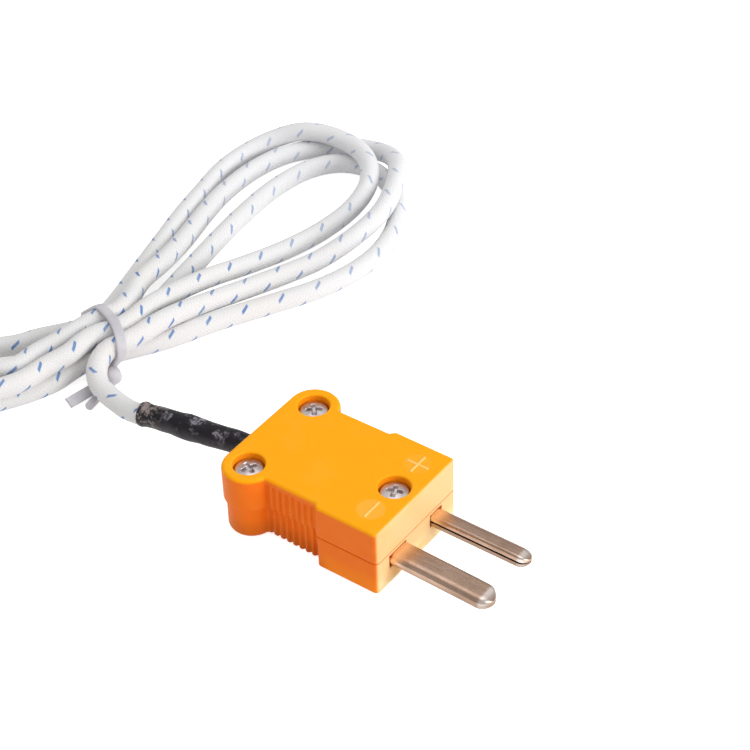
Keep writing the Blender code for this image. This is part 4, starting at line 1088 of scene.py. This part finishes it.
def add_half(settings, which, material):
    """One half of the housing as a closed skin: the outline carried up a wall profile.

    P(u, v) = outline(u) - normal(u) (inset(v) + groove(u) ramp(v)), height(v). The flat ends are
    triangulated between the last ring of the wall and the rims of the screw wells.
    """
    upper = which == "upper"
    loop, normal, waist = plan_outline(settings, 0.0 if upper else 0.35 * MM)
    top = settings.body_height
    seam = UPPER_LOW[2] if upper else LOWER_HIGH[2]
    rise = (top - seam) if upper else seam
    ears = smooth_step(FRONT_X - loop[:, 0], 9.0 * MM, 18.0 * MM)
    radius = (0.36 + (0.12 if upper else 0.5) * ears) * MM
    lip = 0.07 * MM
    angle = np.linspace(0, np.pi / 2, 10)[:, None]
    share = np.linspace(0, 1, 17)[1:-1, None]
    full = np.ones_like(loop[:, 0])
    insets = np.vstack([lip * (1 - np.sin(angle[::3])) * full, 0 * share * full,
                        radius * (1 - np.cos(angle)), (radius + 0.06 * MM)[None]])
    levels = np.vstack([lip * (1 - np.cos(angle[::3])) * full, lip + (rise - radius - lip) * share,
                        rise - radius * (1 - np.sin(angle)), rise * full[None]])
    grooves = groove_depth(settings, loop, waist)
    if upper:
        ramp = 1 - smooth_step(levels, rise - 1.35 * MM, rise - 0.8 * MM)
    else:
        ramp = np.ones_like(levels)
    inward = insets + grooves[None] * ramp
    plan = loop[None] - normal[None] * inward[..., None]
    height = seam + levels if upper else seam - levels
    wall = np.concatenate([plan, height[..., None]], axis=-1)
    points = [wall.reshape(-1, 3)]
    faces = [ring_faces(len(wall), len(loop))]
    flat_level = float(height[-1, 0])
    rings = [wall[-1, :, :2]]
    if upper:
        for x, y in screw_places(settings):
            well, well_faces = well_grid(settings, x, y, top)
            faces.append(well_faces + sum(len(p) for p in points))
            points.append(well.reshape(-1, 3))
            rings.append(well[0, :, :2])
    holes = [well_bottom(x, y) for x, y in screw_places(settings)] if upper else []
    for pts, tris in (flat_between(rings, flat_level), flat_between([wall[0, :, :2], *holes], seam)):
        faces.append(tris + sum(len(p) for p in points))
        points.append(pts)
    skin = mesh_object(f"{which}_housing", np.vstack(points), [f for part in faces for f in part])
    closed_up(skin, 2e-7)
    dress(skin, material)
    stands_for(skin, "housing", f"{which}_shell")
    return skin


def screw_places(settings):
    """Plan places of the front screw and of the two in the ears."""
    ear_x = FRONT_X - settings.body_length + settings.ear_radius
    return [(FRONT_SCREW_X, 0.0), (ear_x, -settings.ear_spacing / 2), (ear_x, settings.ear_spacing / 2)]


def well_grid(settings, x, y, top):
    """A screw well: its rounded mouth, wall, seat and clearance hole, as a turned profile."""
    radius, mouth = settings.well_radius, settings.well_mouth
    seat = top - SEAT_DEPTH
    angle = np.linspace(0, np.pi / 2, 8)
    rounded = zip(radius + mouth - mouth * np.sin(angle), top - mouth + mouth * np.cos(angle))
    profile = [(radius + mouth + 0.05 * MM, top), *rounded, (radius, top - 1.2 * MM),
               (radius, seat + 0.1 * MM), (radius - 0.1 * MM, seat), (1.25 * MM, seat),
               (CLEARANCE_RADIUS, seat - 0.05 * MM), (CLEARANCE_RADIUS, UPPER_LOW[2])]
    prof = np.array(profile)
    a = np.linspace(0, 2 * np.pi, WELL_COLUMNS, endpoint=False)
    grid = np.stack([x + prof[:, 0, None] * np.cos(a), y + prof[:, 0, None] * np.sin(a),
                     np.broadcast_to(prof[:, 1, None], (len(prof), WELL_COLUMNS))], -1)
    return grid, ring_faces(len(prof), WELL_COLUMNS)


def well_bottom(x, y):
    """Rim of a clearance hole on the parting face: a circle about the screw's place."""
    a = np.linspace(0, 2 * np.pi, WELL_COLUMNS, endpoint=False)
    return np.stack([x + CLEARANCE_RADIUS * np.cos(a), y + CLEARANCE_RADIUS * np.sin(a)], 1)


def flat_between(rings, level):
    """Triangles of a flat face between an outer ring and the rings of its holes."""
    coords, edges, start = [], [], 0
    for ring in rings:
        count = len(ring)
        coords += [Vector(p) / MM for p in ring.tolist()]
        edges += [(start + k, start + (k + 1) % count) for k in range(count)]
        start += count
    points, _, faces, _, _, _ = delaunay_2d_cdt(coords, edges, [], 1, 1e-6)
    plan = np.array(points) * MM
    faces = np.array(faces)
    middles = plan[faces].mean(axis=1)
    for ring in rings[1:]:
        centre = ring.mean(axis=0)
        reach = np.linalg.norm(ring - centre, axis=1).min() * 0.999
        clear = np.linalg.norm(middles - centre, axis=1) > reach
        faces, middles = faces[clear], middles[clear]
    return np.column_stack([plan, np.full(len(plan), level)]), faces


def box_tool(name, low, high):
    """A box between two corners, to cut with."""
    low, high = np.asarray(low), np.asarray(high)
    corners = np.array([[(low, high)[i][0], (low, high)[j][1], (low, high)[k][2]]
                        for i in (0, 1) for j in (0, 1) for k in (0, 1)])
    faces = [(0, 1, 3, 2), (4, 6, 7, 5), (0, 4, 5, 1), (2, 3, 7, 6), (0, 2, 6, 4), (1, 5, 7, 3)]
    return closed_up(mesh_object(name, corners, faces, smooth=False))


def inner_cutters():
    """Tools for the terminal bays, the blade slots and the cable entry."""
    seam_low, seam_high = LOWER_HIGH[2], UPPER_LOW[2]
    middle = (seam_low + seam_high) / 2
    upper, lower = [], []
    for side in (1, -1):
        y0, y1 = sorted((side * 1.5 * MM, side * 6.0 * MM))
        back, front = FRONT_X - 13.6 * MM, FRONT_X - 8.6 * MM
        upper.append(box_tool("bay", (back, y0, seam_high - MM), (front, y1, 8.0 * MM)))
        lower.append(box_tool("bay", (back, y0, 2.8 * MM), (front, y1, seam_low + MM)))
    for name in ("positive_blade", "negative_blade"):
        low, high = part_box(name)
        for back, front, gap in ((9.5, 0.35, 0.02), (0.45, -1.0, 0.11)):
            lower.append(box_tool("slot", (FRONT_X - back * MM, low[1] - gap * MM, low[2] - gap * MM),
                                  (FRONT_X - front * MM, high[1] + gap * MM, high[2] + gap * MM)))
    wires = (FRONT_X - 19.0 * MM, -2.0 * MM), (FRONT_X - 13.0 * MM, 2.0 * MM)
    upper.append(box_tool("wire_way", (*wires[0], seam_high - MM), (*wires[1], 7.0 * MM)))
    lower.append(box_tool("wire_way", (*wires[0], 2.8 * MM), (*wires[1], seam_low + MM)))
    line = np.linspace((FRONT_X - 25 * MM, 0, middle), (FRONT_X - 18.5 * MM, 0, middle), 6)
    entry = tube_object("entry", line, np.full(6, 1.62 * MM), around=56, dome=0.1)
    return {"upper": [*upper, entry], "lower": [*lower, entry]}


def cut_openings(obj, tools):
    """Cuts the tools out of a skin and keeps the result as its plain mesh."""
    for tool in tools:
        step = obj.modifiers.new(tool.name, "BOOLEAN")
        step.operation = "DIFFERENCE"
        step.solver = "EXACT"
        step.object = tool
    bpy.context.view_layer.update()
    cut = bpy.data.meshes.new_from_object(obj.evaluated_get(bpy.context.evaluated_depsgraph_get()))
    obj.modifiers.clear()
    material = obj.data.materials[0]
    obj.data = cut
    cut.materials.clear()
    cut.materials.append(material)
    cut.shade_smooth()
    cut.set_sharp_from_angle(angle=math.radians(42))


def ridge_points(a, b, width, height, level):
    """A raised line between two places on the top: P(s, v) = line(s) + width v aside / 2
    + height sqrt(1 - v^2) up, both drawn in at the ends by a circle."""
    a, b = np.array([*a, level]), np.array([*b, level])
    line = np.linspace(a, b, 24)
    ahead = (b - a) / np.linalg.norm(b - a)
    aside = np.array([-ahead[1], ahead[0], 0])
    v = np.linspace(-1, 1, 13)
    s = np.linspace(-1, 1, 24)
    ends = np.sqrt(np.clip(1 - np.clip((np.abs(s) - 0.86) / 0.14, 0, 1) ** 2, 0, 1))
    dome = np.sqrt(np.clip(1 - v ** 2, 0, 1))
    grid = (line[:, None] + (v[None, :, None] * width / 2 * np.maximum(ends, 0.05)[:, None, None]) * aside
            + (dome[None, :, None] * ends[:, None, None] * height) * np.array([0, 0, 1.0]))
    return grid


def add_marks(settings):
    """Polarity marks: thin raised lines, each a domed section carried along a short line."""
    top = settings.body_height - 0.02 * MM
    x = FRONT_X - 3.15 * MM
    lines = [((x - 1.65 * MM, 4.75 * MM), (x + 1.65 * MM, 4.75 * MM)),
             ((x, 3.1 * MM), (x, 6.4 * MM)),
             ((x + 0.05 * MM, -6.35 * MM), (x + 0.05 * MM, -3.1 * MM))]
    points, faces, start = [], [], 0
    for a, b in lines:
        grid = ridge_points(a, b, 0.36 * MM, 0.10 * MM, top)
        rows, columns = grid.shape[:2]
        r, c = np.meshgrid(np.arange(rows - 1), np.arange(columns - 1), indexing="ij")
        quads = np.stack([r * columns + c, r * columns + c + 1, (r + 1) * columns + c + 1,
                          (r + 1) * columns + c], -1).reshape(-1, 4)[:, ::-1]
        points.append(grid.reshape(-1, 3))
        faces.append(quads + start)
        edge = ([i * columns for i in range(rows)] + [(rows - 1) * columns + j for j in range(1, columns)]
                + [i * columns + columns - 1 for i in range(rows - 2, -1, -1)]
                + [j for j in range(columns - 2, 0, -1)])
        faces.append([[start + k for k in edge[::-1]]])
        start += rows * columns
    marks = mesh_object("polarity_marks", np.vstack(points), [f for part in faces for f in part])
    closed_up(marks, 1e-9)
    dress(marks, mark_material())
    stands_for(marks, "housing")


class PROBE_OT_blades(bpy.types.Operator):
    """Add the two folded blades"""
    bl_idname = "probe.blades"
    bl_label = "Blades"

    def execute(self, context):
        settings = context.scene.probe_plug
        material = blade_material(settings)
        for name, side in (("positive", 1), ("negative", -1)):
            add_blade(settings, name, side, material)
        return {"FINISHED"}


def blade_material(settings):
    """Warm nickel with painted light: a pale warm painted reflection at the roots, a pale painted highlight
    near each tip and dark brown painted shade along the low rounded edges.
    """
    material = metal_material("warm_nickel", tuple(settings.blade_colour), (0.34, 0.23, 0.17), 0.24,
                              scratch_scale=1500.0, stretch=0.08)
    tree = material.node_tree
    shader = tree.nodes["Principled BSDF"]
    tone = shader.inputs["Base Color"].links[0].from_socket
    coords = next(node for node in tree.nodes if node.bl_idname == "ShaderNodeTexCoord")
    x, _, z = object_place(tree, coords)
    # Painted reflection: the roots take a pale warm tone that stands in for the front face mirrored in them.
    root = between(tree, x, FRONT_X + 2.2 * MM, FRONT_X + 0.1 * MM)
    tone = mixed(tree, times(tree, root, 0.9), tone, (1.0, 0.74, 0.55))
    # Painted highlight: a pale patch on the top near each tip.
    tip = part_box("negative_blade")[1][0]
    end = times(tree, between(tree, x, tip - 1.5 * MM, tip - 1.0 * MM),
                between(tree, x, tip, tip - 0.7 * MM))
    tone = mixed(tree, times(tree, end, 0.5), tone, (0.90, 0.87, 0.85))
    # Painted shade: dark brown along the low rounded edges.
    low = between(tree, z, 3.75 * MM, 3.1 * MM)
    tone = mixed(tree, times(tree, low, 0.55), tone, (0.15, 0.095, 0.06))
    tree.links.new(tone, shader.inputs["Base Color"])
    return material


def add_blade(settings, name, side, material):
    """Folded strip: a U-shaped section, open towards the other blade, carried along X.

    P(x, a) = (x, middle + w(x) section_y(a), height + t(x) section_z(a) - bend(x)). Near the tip w
    follows a circle and t falls off, which rounds the end in plan and in side view.
    """
    low, high = (np.array(v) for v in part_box(f"{name}_blade"))
    width, thick = high[1] - low[1], high[2] - low[2]
    middle = np.array([(low[1] + high[1]) / 2, (low[2] + high[2]) / 2])
    outer, inner = thick / 2, thick / 2 - settings.sheet
    half = width / 2
    fold = -half + outer
    bend = np.linspace(np.pi / 2, 3 * np.pi / 2, 17)
    edge = np.linspace(0, np.pi / 2, 5)
    r = 0.3 * MM
    tip_low = np.stack([half - r + r * np.sin(edge), -outer + r - r * np.cos(edge)], 1)
    tip_high = tip_low[::-1] * [1, -1]
    straight = np.linspace(half - r, fold, 12)[1:-1]
    section = np.vstack([
        [[half, -inner]], tip_low[::-1], np.stack([straight, np.full(10, -outer)], 1),
        np.stack([fold + outer * np.cos(bend[::-1]), outer * np.sin(bend[::-1])], 1),
        np.stack([straight[::-1], np.full(10, outer)], 1), tip_high[::-1], [[half, inner]],
        np.stack([fold + inner * np.cos(bend), inner * np.sin(bend)], 1)])
    section[:, 0] *= -side
    tip = high[0]
    plain = np.linspace(low[0], tip - half, 30)
    angle = np.linspace(0, np.pi / 2 - 0.02, 18)[1:]
    x = np.concatenate([plain, tip - half + half * np.sin(angle)])
    w = np.concatenate([np.ones(30), np.cos(angle)])
    fall = np.clip((x - (tip - 1.5 * MM)) / (1.5 * MM), 0, 1)
    t = 1 - 0.62 * fall ** 2.2
    bend = np.clip((x - FRONT_X) / (tip - FRONT_X), 0, 1) ** 1.5 * (settings.blade_bend if side < 0 else 0)
    y = middle[0] + w[:, None] * section[None, :, 0]
    z = middle[1] + t[:, None] * section[None, :, 1] - bend[:, None]
    grid = np.stack([np.broadcast_to(x[:, None], y.shape), y, z], -1)
    count = len(section)
    faces = [*ring_faces(len(x), count), list(range(count)),
             list(range((len(x) - 1) * count, len(x) * count))]
    blade = closed_up(mesh_object(f"{name}_blade_skin", grid, faces))
    blade.data.set_sharp_from_angle(angle=math.radians(50))
    dress(blade, material)
    stands_for(blade, "blade", f"{name}_blade")


class PROBE_OT_fixings(bpy.types.Operator):
    """Finish the screws, clamps and wires that come from the solids"""
    bl_idname = "probe.fixings"
    bl_label = "Screws and wires"

    def execute(self, context):
        settings = context.scene.probe_plug
        steel = metal_material("plated_steel", tuple(settings.screw_colour), (0.34, 0.29, 0.29), 0.34,
                               scratch_scale=1300.0, stretch=0.3)
        for name, turned in (("case_screw_front", 20), ("case_screw_left", 65), ("case_screw_right", 40)):
            add_screw(name, math.radians(turned), steel)
        for name in ("positive_terminal_screw", "negative_terminal_screw", "positive_clamp_washer",
                     "negative_clamp_washer"):
            keep_node(name, steel)
        insulation = plain_material("core_insulation", (0.80, 0.78, 0.72), (0.70, 0.67, 0.60), 0.6)
        wire = metal_material("bare_wire", (0.55, 0.52, 0.48), (0.34, 0.30, 0.27), 0.35)
        for side in ("positive", "negative"):
            keep_node(f"{side}_conductor", insulation)
            keep_node(f"{side}_core_hook", wire)
        return {"FINISHED"}


def add_screw(name, turned, material):
    """Domed cross-recess screw: height top - dome (r / R)^2 less the recess, whose two arms fade
    at their sides and ends and grow shallow outwards; below it the head's wall and the shank."""
    low, high = (np.array(v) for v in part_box(name))
    head, shank, top = 1.8 * MM, 1.0 * MM, high[2]
    centre = (low[:2] + high[:2]) / 2
    a = np.linspace(0, 2 * np.pi, 120, endpoint=False)[None]
    r = np.linspace(0, 1, 46)[:, None] * (head - 0.12 * MM)
    u, v = r * np.cos(a - turned), r * np.sin(a - turned)
    arms = [(1 - smooth_step(np.abs(side), 0.17 * MM, 0.31 * MM))
            * (1 - smooth_step(np.abs(ahead), 0.8 * MM, 1.1 * MM)) for side, ahead in ((u, v), (v, u))]
    deep = 0.62 * MM * np.maximum(*arms) * (1 - 0.45 * r / head)
    z = top - 0.24 * MM * (r / head) ** 2 - deep
    wall = np.array([(head - 0.03 * MM, top - 0.29 * MM), (head, top - 0.38 * MM), (head, top - 1.4 * MM),
                     (head - 0.05 * MM, top - 1.5 * MM), (shank, top - 1.5 * MM), (shank, low[2] + 0.2 * MM),
                     (shank - 0.2 * MM, low[2]), (0, low[2])])
    radii = np.concatenate([r[:, 0], wall[:, 0]])[:, None]
    levels = np.vstack([z, np.broadcast_to(wall[:, 1:], (len(wall), a.shape[1]))])
    grid = np.stack([centre[0] + radii * np.cos(a), centre[1] + radii * np.sin(a), levels], -1)
    screw = closed_up(mesh_object(f"{name}_skin", grid, ring_faces(len(radii), a.shape[1])))
    screw.data.set_sharp_from_angle(angle=math.radians(50))
    dress(screw, material)
    stands_for(screw, "screw", name)


class PROBE_PT_panel(bpy.types.Panel):
    bl_label = "Thermocouple Probe"
    bl_idname = "PROBE_PT_panel"
    bl_space_type = "VIEW_3D"
    bl_region_type = "UI"
    bl_category = "Probe"

    def draw(self, context):
        layout = self.layout
        for settings in (context.scene.probe_plug, context.scene.probe_lead, context.scene.probe_stage):
            box = layout.box()
            for key in settings.bl_rna.properties.keys():
                if key not in ("rna_type", "name"):
                    box.prop(settings, key)
        for operator in STEPS:
            layout.operator(operator.bl_idname)


STEPS = (PROBE_OT_stage, PROBE_OT_lead, PROBE_OT_housing, PROBE_OT_blades, PROBE_OT_fixings)
CLASSES = (ProbePlugSettings, ProbeLeadSettings, ProbeStageSettings, *STEPS, PROBE_PT_panel)


def register():
    for cls in CLASSES:
        bpy.utils.register_class(cls)
    bpy.types.Scene.probe_plug = bpy.props.PointerProperty(type=ProbePlugSettings)
    bpy.types.Scene.probe_lead = bpy.props.PointerProperty(type=ProbeLeadSettings)
    bpy.types.Scene.probe_stage = bpy.props.PointerProperty(type=ProbeStageSettings)


def unregister():
    del bpy.types.Scene.probe_stage
    del bpy.types.Scene.probe_lead
    del bpy.types.Scene.probe_plug
    for cls in reversed(CLASSES):
        bpy.utils.unregister_class(cls)


def main():
    register()
    bpy.ops.probe.stage()
    bpy.ops.probe.lead()
    bpy.ops.probe.housing()
    bpy.ops.probe.blades()
    bpy.ops.probe.fixings()


if __name__ == "__main__":
    main()
